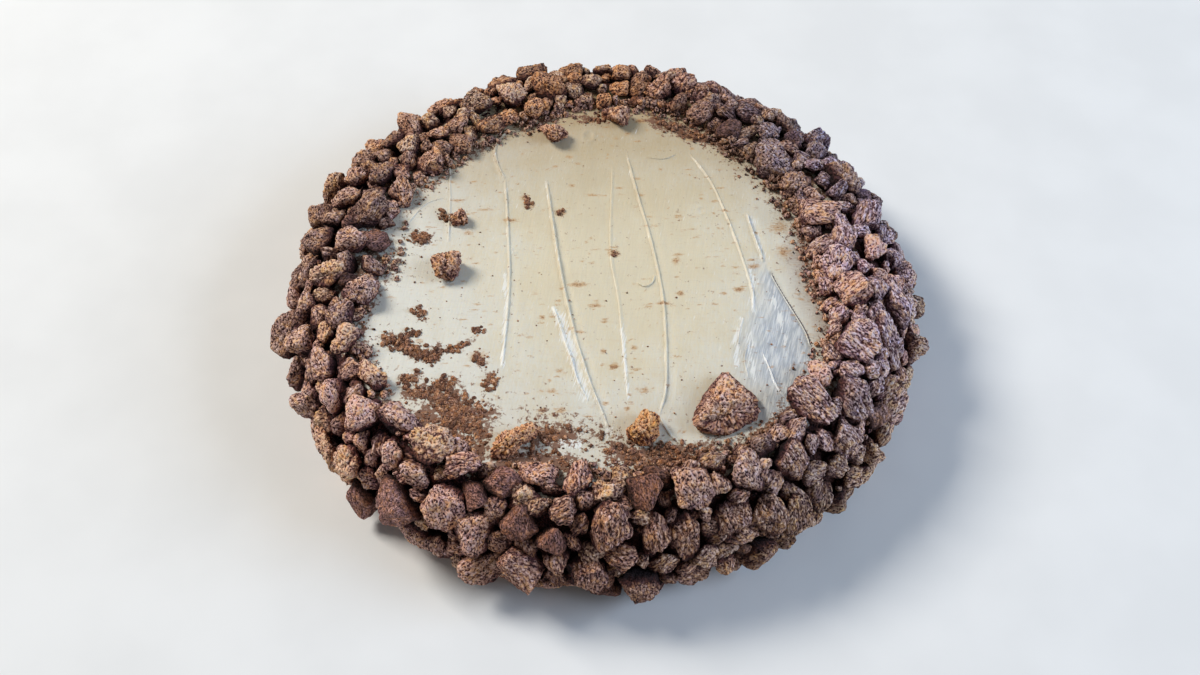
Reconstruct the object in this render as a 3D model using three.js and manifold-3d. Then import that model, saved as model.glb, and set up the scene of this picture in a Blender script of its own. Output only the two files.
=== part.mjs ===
// A whole round cake: a pale cream top spread with a palette knife, and a rim and side of crushed biscuit.
// Millimetres, +Z up. The origin is the centre of the base that the cake stands on.
// Angles run anticlockwise from +X, seen from above, and the front of the cake is at -Y.
import * as THREE from "three";
import { mergeVertices } from "three/addons/utils/BufferGeometryUtils.js";
import Module from "manifold-3d";

const wasm = await Module();
wasm.setup();

// The cake under its cream
const CAKE_RADIUS = 104;
const CAKE_HEIGHT = 40;
const EDGE_ROUND = 5;
const CAKE_SEGMENTS = 72;
const CLEARANCE = 0.35;

// The bank of biscuit: where it reaches in over the cream, at even steps from +X, and how far out it bulges
const INNER_REACH = [81, 80, 80.5, 87.5, 84, 80, 78, 82, 77.5, 93, 97, 92.5, 88, 92, 94.5, 90];
const NOMINAL_REACH = 86;
const NOMINAL_GIRTH = 128;
const GIRTH = { mean: 130, toRight: 2.5, toBack: 1, wider: 2.5 };
const BANK_SEGMENTS = 36;
// Radius and height along the skin of the bank, from its toe on the cream, over the edge and down to its foot
const BANK_SKIN = [[90, 40.6], [98, 43], [108, 40], [117, 26], [120, 14], [113, 0]];

// The largest pieces of the bank: angle in degrees, share of the way down the skin, half width, half height
const LANDMARKS = [
  [320, 0.15, 7.6, 9], [308, 0.3, 6.6, 7.1], [299, 0.24, 6.2, 7.4], [288, 0.22, 7.3, 8.2],
  [279, 0.16, 6.4, 7.3], [266, 0.06, 4.8, 7.4], [272, 0.34, 6.4, 10.5], [280, 0.42, 5.3, 7.8],
  [285, 0.47, 5.3, 8.7], [294, 0.45, 6.2, 6.5], [300, 0.51, 6.6, 8], [306, 0.62, 5.9, 9],
  [268, 0.66, 7.1, 8.8], [320, 0.43, 6.4, 8.2], [219, 0.27, 7.8, 7.3], [229, 0.32, 4.4, 6.1],
  [242, 0.41, 7.6, 7.9], [251, 0.17, 6.3, 5.1], [258, 0.03, 6.4, 6], [256, 0.38, 5.9, 6.6],
  [262, 0.45, 5.1, 6], [248, 0.51, 6.7, 7.6], [242, 0.75, 5, 6.6], [204, 0.36, 6.5, 6.1],
];
const LANDMARK_THICKNESS = 0.72;

// The rest of the broken pieces, from the coarsest down: half length and number of tries
const PIECE_GRADES = [[8.9, 70], [7.9, 160], [6.9, 420], [6.1, 1500]];
const MOST_PIECES = 225;
const PIECE_SPACING = 0.95;
const PIECE_STAND = 0.35;
const SKIN_COVERED = [0.01, 0.98];
const COARSENESS = { front: 1, back: 0.8 };
const LENGTH_SPREAD = [0.9, 1.15];
const WIDTH_SPREAD = [0.68, 0.95];
const THICKNESS_SPREAD = [0.55, 0.8];
const LEAN = 0.45;
const CORNERS_DRAWN_IN = [0.85, 1];
const ROUNDED_FROM = 7;
const SEED = 20417;

// Single pieces on the cream: name, x, y, half sizes, turn in degrees, and how three-cornered each one is
const LOOSE_PIECES = [
  ["biscuit_wedge", 45, -65, [12, 11.5, 5], 95, 0.1],
  ["biscuit_long_left", -29.5, -80, [8, 4.6, 4.2], 35, 0],
  ["biscuit_long_front", 15.5, -75, [8, 5, 4.4], 28, 0.05],
  ["biscuit_lump_left", -59, -2, [6.6, 5.6, 4.4], 60, 0],
  ["biscuit_lump_back", -19.5, 69.5, [5.4, 4.8, 4.2], 20, 0.05],
  ["biscuit_lump_far", 8, 79.5, [5.6, 4.6, 4], -30, 0],
  ["biscuit_bit_left", -54.5, 23, [3.6, 2.8, 2.6], 10, 0],
];
const LOOSE_GAP = 1.2;
const LOOSE_RAISE = 0.75;

// Small crumbs stuck to the cream: drifts of them, each with its centre, spread and number
const CRUMB_DRIFTS = [
  [-64, -45, 13, 6, 16],
  [-48, -60, 14, 7, 20],
  [-68, 9, 5, 3, 4],
  [-34, 53, 4, 6, 4],
  [30, 74, 9, 4, 6],
  [2, -84, 9, 3, 5],
];
const CRUMB_RADIUS = [1.35, 2.4];
const CRUMB_SHAPE = [1, 0.85, 0.7];
const CRUMB_RAISE = 0.3;
const CRUMB_GAP = 0.8;

// The lips of cream that the knife left, each along its own line across the top, and their cross-section
const KNIFE_LIPS = [
  [[-33, 74], [-40, 71], [-43, 62], [-41, 52], [-38, 45], [-36, 23], [-34, -10], [-35, -48]],
  [[-21, 45], [-18, 22], [-14, -5], [-9, -30], [-3, -53], [4, -73]],
  [[6, 53], [5, 8], [8, -17], [11, -61]],
  [[12, 60], [16, 38], [21, 13], [25, -17], [25, -53], [22, -68]],
  [[38, 61], [47, 42], [54, 16], [59, -9], [59, -22]],
  [[60, 24], [65, 10], [70, -12], [78, -31], [80, -41]],
  [[-62, 59], [-60, 34], [-59, 12]],
];
const LIP_HALF_WIDTH = 1.3;
const LIP_HEIGHT = 0.8;
const LIP_SIDES = 6;
const LIP_STEP = 8;

// Regular solids that the broken pieces start from, from the plainest up
const CUBE = new THREE.BoxGeometry(1, 1, 1);
const TWENTY_FACES = new THREE.IcosahedronGeometry(1, 0);
const EIGHTY_FACES = new THREE.IcosahedronGeometry(1, 1);

const BISCUIT = new THREE.MeshStandardMaterial({ color: 0x7a5b49, roughness: 0.95, metalness: 0 });
const CREAM = new THREE.MeshStandardMaterial({ color: 0xd8d0b8, roughness: 0.45, metalness: 0 });

const UP = new THREE.Vector3(0, 0, 1);

// Repeatable random numbers between a low and a high value, by multiplying and keeping the remainder
function randomFrom(seed) {
  const multiplier = 48271;
  const modulus = 2147483647;
  let state = seed;
  return ([low, high]) => {
    state = (state * multiplier) % modulus;
    return low + ((high - low) * state) / modulus;
  };
}

function solidFrom(geometry) {
  const bare = geometry.clone();
  bare.deleteAttribute("normal");
  bare.deleteAttribute("uv");
  const merged = mergeVertices(bare, 1e-3);
  return new wasm.Manifold(
    new wasm.Mesh({
      numProp: 3,
      vertProperties: merged.attributes.position.array,
      triVerts: new Uint32Array(merged.index.array),
    }),
  );
}

// The largest body of a solid, so without scraps that came loose and hollows that were sealed
function wholeBody(solid) {
  const bodies = solid.decompose();
  return bodies.reduce((largest, body) => (body.volume() > largest.volume() ? body : largest));
}

function geometryFrom(solid) {
  const { vertProperties, triVerts } = solid.getMesh();
  const geometry = new THREE.BufferGeometry();
  geometry.setAttribute("position", new THREE.BufferAttribute(vertProperties, 3));
  geometry.setIndex(new THREE.BufferAttribute(triVerts, 1));
  geometry.computeVertexNormals();
  return geometry;
}

// A turned solid about +Z, from its profile of radius and height
function turned(profile, segments) {
  const points = profile.map(([radius, height]) => new THREE.Vector2(radius, height));
  return new THREE.LatheGeometry(points, segments).rotateX(Math.PI / 2);
}

// How far in over the cream the biscuit reaches at an angle
function innerReach(angle) {
  const count = INNER_REACH.length;
  const turn = ((angle / (2 * Math.PI)) * count + count) % count;
  const first = Math.floor(turn) % count;
  const share = turn - Math.floor(turn);
  const eased = share * share * (3 - 2 * share);
  return INNER_REACH[first] + (INNER_REACH[(first + 1) % count] - INNER_REACH[first]) * eased;
}

function outerGirth(angle) {
  const drift = GIRTH.toRight * Math.cos(angle) + GIRTH.toBack * Math.sin(angle);
  return GIRTH.mean + drift + GIRTH.wider * Math.cos(2 * angle);
}

// The radius on the real, uneven bank of a radius on its nominal section
function bankRadius(radius, angle) {
  if (radius < CAKE_RADIUS) {
    const stretch = (CAKE_RADIUS - innerReach(angle)) / (CAKE_RADIUS - NOMINAL_REACH);
    return CAKE_RADIUS - (CAKE_RADIUS - radius) * stretch;
  }
  const stretch = (outerGirth(angle) - CAKE_RADIUS) / (NOMINAL_GIRTH - CAKE_RADIUS);
  return CAKE_RADIUS + (radius - CAKE_RADIUS) * stretch;
}

// The point of the bank's skin at an angle and a share of the way from toe to foot, and the way out of it
function bankSkin(angle, share) {
  const lengths = [0];
  for (let i = 1; i < BANK_SKIN.length; i += 1) {
    const [r0, z0] = BANK_SKIN[i - 1];
    const [r1, z1] = BANK_SKIN[i];
    lengths.push(lengths[i - 1] + Math.hypot(r1 - r0, z1 - z0));
  }
  const target = share * lengths[lengths.length - 1];
  let i = 1;
  while (i < lengths.length - 1 && lengths[i] < target) i += 1;
  const part = (target - lengths[i - 1]) / (lengths[i] - lengths[i - 1]);
  const [r0, z0] = BANK_SKIN[i - 1];
  const [r1, z1] = BANK_SKIN[i];
  const radius = bankRadius(r0 + (r1 - r0) * part, angle);
  const slope = Math.hypot(r1 - r0, z1 - z0);
  const outward = (z0 - z1) / slope;
  const upward = (r1 - r0) / slope;
  return {
    point: new THREE.Vector3(radius * Math.cos(angle), radius * Math.sin(angle), z0 + (z1 - z0) * part),
    normal: new THREE.Vector3(outward * Math.cos(angle), outward * Math.sin(angle), upward),
  };
}

// How coarse the broken biscuit is at an angle: coarsest at the front
function coarseness(angle) {
  return COARSENESS.back + ((COARSENESS.front - COARSENESS.back) * (1 - Math.sin(angle))) / 2;
}

// How far a piece reaches along a direction
function halfExtent(piece, direction) {
  return Math.hypot(...piece.axes.map((axis, i) => axis.dot(direction) * piece.half[i]));
}

// A piece that lies on the skin of the bank, turned by its own amount and leaning a little
function pieceOnSkin(angle, share, half, turn, lean) {
  const { point, normal } = bankSkin(angle, share);
  const outward = normal.clone().add(lean).normalize();
  const side = new THREE.Vector3(-Math.sin(angle), Math.cos(angle), 0);
  side.addScaledVector(outward, -side.dot(outward)).normalize();
  const across = side.applyAxisAngle(outward, turn);
  const axes = [across, outward.clone().cross(across), outward];
  const centre = point.addScaledVector(normal, PIECE_STAND * half[2]);
  const piece = { centre, axes, half, size: (half[0] + half[1]) / 2 };
  centre.z = Math.max(centre.z, halfExtent(piece, UP));
  return piece;
}

// The pieces that cover the bank: the landmarks, and then what finds room between them
function bankPieces() {
  const random = randomFrom(SEED);
  const pieces = LANDMARKS.map(([degrees, share, wide, high]) => {
    const half = [wide, high, LANDMARK_THICKNESS * Math.min(wide, high)];
    return pieceOnSkin(THREE.MathUtils.degToRad(degrees), share, half, 0, new THREE.Vector3());
  });
  for (const [grade, tries] of PIECE_GRADES) {
    for (let n = 0; n < tries && pieces.length < MOST_PIECES; n += 1) {
      const angle = random([0, 2 * Math.PI]);
      const share = random(SKIN_COVERED);
      const long = grade * coarseness(angle) * random(LENGTH_SPREAD);
      const half = [long, long * random(WIDTH_SPREAD), long * random(THICKNESS_SPREAD)];
      const turn = random([0, Math.PI]);
      const lean = new THREE.Vector3(random([-LEAN, LEAN]), random([-LEAN, LEAN]), random([-LEAN, LEAN]));
      const piece = pieceOnSkin(angle, share, half, turn, lean);
      const clear = pieces.every(
        (other) => other.centre.distanceTo(piece.centre) > PIECE_SPACING * (other.size + piece.size),
      );
      if (clear && !nearLoosePiece(piece.centre.x, piece.centre.y, long + LOOSE_GAP)) pieces.push(piece);
    }
  }
  return pieces;
}

function nearLoosePiece(x, y, distance) {
  return LOOSE_PIECES.some(
    ([, pieceX, pieceY, half]) => Math.hypot(x - pieceX, y - pieceY) < half[0] + distance,
  );
}

// A broken piece as a faceted block: the corners of a regular solid, each drawn in by its own amount
function brokenBlock(piece, regular, random, cornered = 0) {
  const bare = regular.clone();
  bare.deleteAttribute("normal");
  bare.deleteAttribute("uv");
  const merged = mergeVertices(bare, 1e-3);
  const corner = new THREE.Vector3();
  const position = merged.attributes.position;
  for (let i = 0; i < position.count; i += 1) {
    corner.fromBufferAttribute(position, i).normalize();
    const around = Math.atan2(corner.y, corner.x);
    const draw = random(CORNERS_DRAWN_IN) * (1 + cornered * (Math.cos(3 * around) - 1));
    const [a, b, c] = piece.half.map((half) => half * draw);
    const placed = piece.centre
      .clone()
      .addScaledVector(piece.axes[0], corner.x * a)
      .addScaledVector(piece.axes[1], corner.y * b)
      .addScaledVector(piece.axes[2], corner.z * c);
    position.setXYZ(i, placed.x, placed.y, placed.z);
  }
  return solidFrom(merged);
}

// The profile of the round cake with its eased top edge, grown by a clearance
function cakeProfile(clearance) {
  const radius = CAKE_RADIUS + clearance;
  const height = CAKE_HEIGHT + clearance;
  const steps = 3;
  const edge = Array.from({ length: steps + 1 }, (_, step) => {
    const angle = (step / steps) * (Math.PI / 2);
    return [
      radius - EDGE_ROUND + EDGE_ROUND * Math.cos(angle),
      height - EDGE_ROUND + EDGE_ROUND * Math.sin(angle),
    ];
  });
  return [[0, -clearance], [radius, -clearance], ...edge, [0, height]];
}

// One lip of cream, low at its ends, as a bead along its line
function knifeLip(line, clearance) {
  const last = line.length - 1;
  const points = line.map(([x, y], i) => {
    const sunk = i === 0 || i === last ? LIP_HEIGHT : 0;
    return new THREE.Vector3(x, y, CAKE_HEIGHT - sunk);
  });
  const path = new THREE.CatmullRomCurve3(points, false, "centripetal");
  const bead = new THREE.Shape();
  bead.absellipse(0, 0, LIP_HEIGHT + clearance, LIP_HALF_WIDTH + clearance, 0, 2 * Math.PI);
  const section = new THREE.Shape(bead.getSpacedPoints(LIP_SIDES).slice(0, LIP_SIDES));
  const steps = Math.round(path.getLength() / LIP_STEP);
  return solidFrom(new THREE.ExtrudeGeometry(section, { steps, extrudePath: path }));
}

function creamSolid(clearance) {
  const lips = KNIFE_LIPS.map((line) => knifeLip(line, clearance));
  return wasm.Manifold.union([solidFrom(turned(cakeProfile(clearance), CAKE_SEGMENTS)), ...lips]);
}

// Crumbs in drifts on the open cream, clear of the bank and of the single pieces
function creamCrumbs(pieces) {
  const random = randomFrom(SEED + 1);
  const axes = [new THREE.Vector3(1, 0, 0), new THREE.Vector3(0, 1, 0), UP];
  const crumbs = [];
  for (const [x, y, wide, deep, count] of CRUMB_DRIFTS) {
    for (let n = 0; n < count; n += 1) {
      const turn = random([0, 2 * Math.PI]);
      const spread = Math.sqrt(random([0, 1]));
      const radius = random(CRUMB_RADIUS);
      const half = CRUMB_SHAPE.map((share) => share * radius);
      const centre = new THREE.Vector3(
        x + wide * spread * Math.cos(turn),
        y + deep * spread * Math.sin(turn),
        CAKE_HEIGHT + CRUMB_RAISE * half[2],
      );
      const angle = Math.atan2(centre.y, centre.x);
      const edge = bankRadius(BANK_SKIN[0][0], angle) - radius - CRUMB_GAP;
      const clearOfBank = Math.hypot(centre.x, centre.y) < edge
        && pieces.every((piece) => piece.centre.distanceTo(centre) > piece.half[0] + radius + CRUMB_GAP);
      if (clearOfBank && !nearLoosePiece(centre.x, centre.y, radius + CRUMB_GAP)) {
        crumbs.push(brokenBlock({ centre, axes, half }, CUBE, random));
      }
    }
  }
  return crumbs;
}

// The bank's core: the section from the skin in to the cake, made uneven round the cake
function bankCore() {
  const wall = CAKE_RADIUS - EDGE_ROUND;
  const shoulder = CAKE_HEIGHT - EDGE_ROUND;
  const toe = BANK_SKIN[0][0];
  const section = [[wall, 0], ...[...BANK_SKIN].reverse(), [toe, shoulder], [wall, shoulder], [wall, 0]];
  const geometry = turned(section, BANK_SEGMENTS);
  const position = geometry.attributes.position;
  for (let i = 0; i < position.count; i += 1) {
    const radius = Math.hypot(position.getX(i), position.getY(i));
    const angle = Math.atan2(position.getY(i), position.getX(i));
    const scale = bankRadius(radius, angle) / radius;
    position.setXY(i, position.getX(i) * scale, position.getY(i) * scale);
  }
  return solidFrom(geometry);
}

// A single piece that lies on the cream, hollowed underneath where a lip of cream runs below it
function loosePiece([name, x, y, half, turn, cornered], random, cutter) {
  const angle = THREE.MathUtils.degToRad(turn);
  const across = new THREE.Vector3(Math.cos(angle), Math.sin(angle), 0);
  const centre = new THREE.Vector3(x, y, CAKE_HEIGHT + LOOSE_RAISE * half[2]);
  const piece = { centre, axes: [across, UP.clone().cross(across), UP], half };
  const solid = wholeBody(brokenBlock(piece, EIGHTY_FACES, random, cornered).subtract(cutter));
  return nodeMesh(name, solid, BISCUIT);
}

function nodeMesh(name, solid, material) {
  const mesh = new THREE.Mesh(geometryFrom(solid), material);
  mesh.name = name;
  return mesh;
}

const pieces = bankPieces();
const cutter = creamSolid(CLEARANCE);
const creamCake = wasm.Manifold.union([creamSolid(0), ...creamCrumbs(pieces)]);
const blockRandom = randomFrom(SEED + 2);
const blocks = pieces.map((piece) => {
  const regular = piece.half[0] < ROUNDED_FROM ? CUBE : TWENTY_FACES;
  return brokenBlock(piece, regular, blockRandom);
});
const bank = wasm.Manifold.union([bankCore(), ...blocks]).subtract(cutter);

const cake = new THREE.Group();
cake.add(nodeMesh("cream_cake", wholeBody(creamCake), CREAM));
cake.add(nodeMesh("biscuit_bank", wholeBody(bank), BISCUIT));
for (const loose of LOOSE_PIECES) {
  cake.add(loosePiece(loose, blockRandom, cutter));
}

// The whole is centred on its own outline, which the uneven pieces draw a little off the cake's axis
const outline = new THREE.Box3().setFromObject(cake);
const middle = outline.getCenter(new THREE.Vector3());
cake.position.set(-middle.x, -middle.y, -outline.min.z);

export default cake;
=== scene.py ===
# %% [markdown]
# A whole round cake: a pale cream top that a palette knife has spread, and a rim and side of crushed dark
# biscuit. The solid model is already packed. It gives each piece its place, and this lesson gives each
# piece its surface. The first cell loads that model and keeps the box that it fills.

# %% Load the solid model
import itertools
import math

import bpy
import numpy as np
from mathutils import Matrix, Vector


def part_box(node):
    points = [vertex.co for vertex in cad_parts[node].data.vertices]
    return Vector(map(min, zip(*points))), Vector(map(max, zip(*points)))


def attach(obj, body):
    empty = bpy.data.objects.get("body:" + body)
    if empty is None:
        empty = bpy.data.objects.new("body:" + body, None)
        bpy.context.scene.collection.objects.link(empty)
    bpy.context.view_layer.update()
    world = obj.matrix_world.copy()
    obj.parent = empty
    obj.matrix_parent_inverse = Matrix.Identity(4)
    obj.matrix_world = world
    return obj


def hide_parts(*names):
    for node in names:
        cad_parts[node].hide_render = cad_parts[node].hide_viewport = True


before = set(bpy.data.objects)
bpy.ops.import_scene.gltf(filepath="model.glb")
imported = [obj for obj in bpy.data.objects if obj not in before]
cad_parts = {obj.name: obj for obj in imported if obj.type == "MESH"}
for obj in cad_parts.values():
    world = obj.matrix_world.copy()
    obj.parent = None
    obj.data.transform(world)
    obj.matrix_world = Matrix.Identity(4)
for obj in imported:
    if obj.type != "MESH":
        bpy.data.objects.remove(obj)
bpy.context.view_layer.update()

BODY = "root"
print("solid pieces:", sorted(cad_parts))

# %% [markdown]
# The cake was drawn round its own axis in millimetres, and then moved so that its outline is centred. The
# round body of the cake is the one solid that is even all round, so the middle of its box is that axis.
# Everything below is worked out in millimetres from the axis, and one helper turns it into metres.

# %% Find the axis of the cake
MM = 0.001
cake_low, cake_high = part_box("cream_cake")
AXIS = np.array([(cake_low.x + cake_high.x) / 2, (cake_low.y + cake_high.y) / 2, 0.0]) / MM
CAKE_RADIUS = (cake_high.x - cake_low.x) / 2 / MM
CAKE_HEIGHT = 40.0
EDGE_ROUND = 5.0
print("axis at", AXIS.round(2), "mm, radius", round(CAKE_RADIUS, 1), "mm")

# %% [markdown]
# Nothing on a cake repeats, yet the script has to make the same cake each run. So every random number comes
# from one of two places: a small generator that multiplies and keeps the remainder, drawn in order, and a
# hash that gives each cell of a lattice its own number, whatever the order in which cells are asked for.

# %% Numbers that look random and are the same each run
DRAW_FACTOR = 48271
DRAW_PRIME = 2147483647
CELL_FACTORS = (73856093, 19349663, 83492791)
SALT_FACTOR = 9973
MIX_FACTOR = 1274126177
LOW_BITS = 0xFFFFFF


def random_from(seed):
    """A function that draws numbers between a low and a high value."""
    state = seed

    def draw(low, high):
        nonlocal state
        state = state * DRAW_FACTOR % DRAW_PRIME
        return low + (high - low) * state / DRAW_PRIME

    return draw


def cell_number(cells, salt):
    """A number from 0 to 1 for each lattice cell."""
    x, y, z = (cells[..., axis] * factor for axis, factor in enumerate(CELL_FACTORS))
    mixed = x ^ y ^ z ^ salt * SALT_FACTOR
    mixed = (mixed ^ (mixed >> 13)) * MIX_FACTOR
    return ((mixed ^ (mixed >> 16)) & LOW_BITS) / (LOW_BITS + 1)


def swell(points, size, salt):
    """Soft unevenness from -1 to 1, with features about as wide as size."""
    scaled = points / size
    cell = np.floor(scaled).astype(np.int64)
    part = scaled - cell
    part = part * part * (3 - 2 * part)
    total = np.zeros(len(points))
    for corner in itertools.product((0, 1), repeat=3):
        weight = np.where(np.array(corner), part, 1 - part).prod(1)
        total += weight * cell_number(cell + np.array(corner), salt)
    return 2 * total - 1


def packed_grains(points, size, salt):
    """Packed round grains: 1 over the middle of a grain, 0 in the crease between two grains."""
    scaled = points / size
    cell = np.floor(scaled).astype(np.int64)
    nearest = np.full(len(points), 9.0)
    second = nearest.copy()
    for step in itertools.product((-1, 0, 1), repeat=3):
        neighbour = cell + np.array(step)
        seat = np.stack([cell_number(neighbour, salt + axis) for axis in range(3)], -1)
        distance = np.linalg.norm(scaled - neighbour - 0.15 - 0.7 * seat, axis=1)
        second = np.minimum(second, np.maximum(nearest, distance))
        nearest = np.minimum(nearest, distance)
    return 1 - (1 - np.clip(1.7 * (second - nearest), 0, 1)) ** 2


def hill(distance, width):
    """1 where the distance is none, falling off softly to 0 beyond the width."""
    return np.exp(-((distance / width) ** 2))


def flat_points(places):
    """Places on a plane as points in space."""
    return np.column_stack([places, np.zeros(len(places))])


print("a cell's number:", round(float(cell_number(np.array([[1, 2, 3]]), 4)[0]), 4))

# %% [markdown]
# The bank of biscuit has the section that the solid model has: a skin that climbs from its toe on the
# cream, goes over the edge and bulges out before it tucks in at the foot. The toe wanders in and out, and
# the bulge is a little wider to the left and right. The same short list of sizes gives both models.

# %% The skin of the bank
# How far in the toe reaches at sixteen even angles, from the right and anticlockwise
INNER_REACH = [81, 80, 80.5, 87.5, 84, 80, 78, 82, 77.5, 93, 97, 92.5, 88, 92, 94.5, 90]
NOMINAL_REACH = 86
NOMINAL_GIRTH = 128
MEAN_GIRTH = 130
SEED = 20417
# Radius and height along the nominal section, from toe to foot
BANK_SKIN = np.array([[90, 40.6], [98, 43], [108, 40], [117, 26], [120, 14], [113, 0]], float)
SKIN_STEPS = np.hypot(*np.diff(BANK_SKIN, axis=0).T)
SKIN_LENGTHS = np.concatenate([[0], np.cumsum(SKIN_STEPS)])


def inner_reach(angle):
    """How far in over the cream the biscuit reaches."""
    count = len(INNER_REACH)
    turn = (angle / (2 * math.pi) * count + count) % count
    first = int(turn) % count
    share = turn - int(turn)
    eased = share * share * (3 - 2 * share)
    return INNER_REACH[first] + (INNER_REACH[(first + 1) % count] - INNER_REACH[first]) * eased


def outer_girth(angle):
    """How far out the bank bulges: a little further to the left and right."""
    return MEAN_GIRTH + 2.5 * math.cos(angle) + math.sin(angle) + 2.5 * math.cos(2 * angle)


def bank_radius(radius, angle):
    """The radius on the uneven bank of a radius on its nominal section."""
    if radius < CAKE_RADIUS:
        stretch = (CAKE_RADIUS - inner_reach(angle)) / (CAKE_RADIUS - NOMINAL_REACH)
        return CAKE_RADIUS - (CAKE_RADIUS - radius) * stretch
    stretch = (outer_girth(angle) - CAKE_RADIUS) / (NOMINAL_GIRTH - CAKE_RADIUS)
    return CAKE_RADIUS + (radius - CAKE_RADIUS) * stretch


def bank_skin(angle, share):
    """A point of the skin, and the way out of it, at a share of the way from toe to foot."""
    target = share * SKIN_LENGTHS[-1]
    part = 0
    while part < len(SKIN_STEPS) - 1 and SKIN_LENGTHS[part + 1] < target:
        part += 1
    step = BANK_SKIN[part + 1] - BANK_SKIN[part]
    radius, height = BANK_SKIN[part] + step * (target - SKIN_LENGTHS[part]) / SKIN_STEPS[part]
    radius = bank_radius(radius, angle)
    outward, upward = -step[1] / SKIN_STEPS[part], step[0] / SKIN_STEPS[part]
    around = np.array([math.cos(angle), math.sin(angle), 0])
    return around * radius + [0, 0, height], around * outward + [0, 0, upward]


print("skin from toe to foot:", round(SKIN_LENGTHS[-1], 1), "mm")

# %% [markdown]
# The camera comes before the pieces, so that any look at half a cake is already framed like the photograph.
# It looks down on the front of the cake from half a metre away. No depth of field, because the whole
# cake is sharp.

# %% Camera
CAMERA_FROM_AXIS = np.array([0.81, -292.71, 409.38])
CAMERA_PITCH = 54.96
CAMERA_LENS = 36.28
SENSOR_WIDTH = 36

camera = bpy.data.objects.new("camera", bpy.data.cameras.new("camera"))
camera.location = Vector((AXIS + CAMERA_FROM_AXIS) * MM)
camera.rotation_euler = (math.radians(90 - CAMERA_PITCH), 0, 0)
camera.data.sensor_width = SENSOR_WIDTH
camera.data.lens = CAMERA_LENS
camera.data.clip_start = 0.01
bpy.context.scene.collection.objects.link(camera)
bpy.context.scene.camera = camera
print("camera at", [round(c, 3) for c in camera.location])

# %% [markdown]
# Hundreds of pieces and thousands of crumbs would be slow to make as an object each. Instead each kind is
# one mesh: its points and triangles are joined as arrays and handed to Blender in one go. Numbers that
# belong to a point, such as how deep it lies between two grains, travel with the mesh as attributes for the
# material.

# %% From arrays to a mesh
def make_piece(name, points, faces, attributes, material, replaced=()):
    """One object from points in millimetres round the cake's axis; all faces have the same corner count."""
    mesh = bpy.data.meshes.new(name)
    corners = faces.shape[1]
    mesh.vertices.add(len(points))
    mesh.vertices.foreach_set("co", ((points + AXIS) * MM).astype(np.float32).ravel())
    mesh.loops.add(faces.size)
    mesh.loops.foreach_set("vertex_index", faces.astype(np.int32).ravel())
    mesh.polygons.add(len(faces))
    mesh.polygons.foreach_set("loop_start", np.arange(len(faces), dtype=np.int32) * corners)
    mesh.update(calc_edges=True)
    mesh.polygons.foreach_set("use_smooth", np.ones(len(faces), bool))
    for label, values in attributes.items():
        values = np.asarray(values, np.float32)
        kind, field = ("FLOAT", "value") if values.ndim == 1 else ("FLOAT_VECTOR", "vector")
        mesh.attributes.new(label, kind, "POINT").data.foreach_set(field, values.ravel())
    mesh.materials.append(material)
    piece = bpy.data.objects.new(name, mesh)
    bpy.context.scene.collection.objects.link(piece)
    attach(piece, BODY)
    if replaced:
        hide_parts(*replaced)
    print(name, "has", len(faces) * (corners - 2), "triangles")

# %% [markdown]
# Materials are sums. One small class wraps a socket, so that shader maths can be written as Python writes
# it: each sign adds a node. Values go through Math nodes, colours and vectors through Vector Math, and any
# other node comes from one method that sets the node up first and then fills its sockets.

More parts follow.
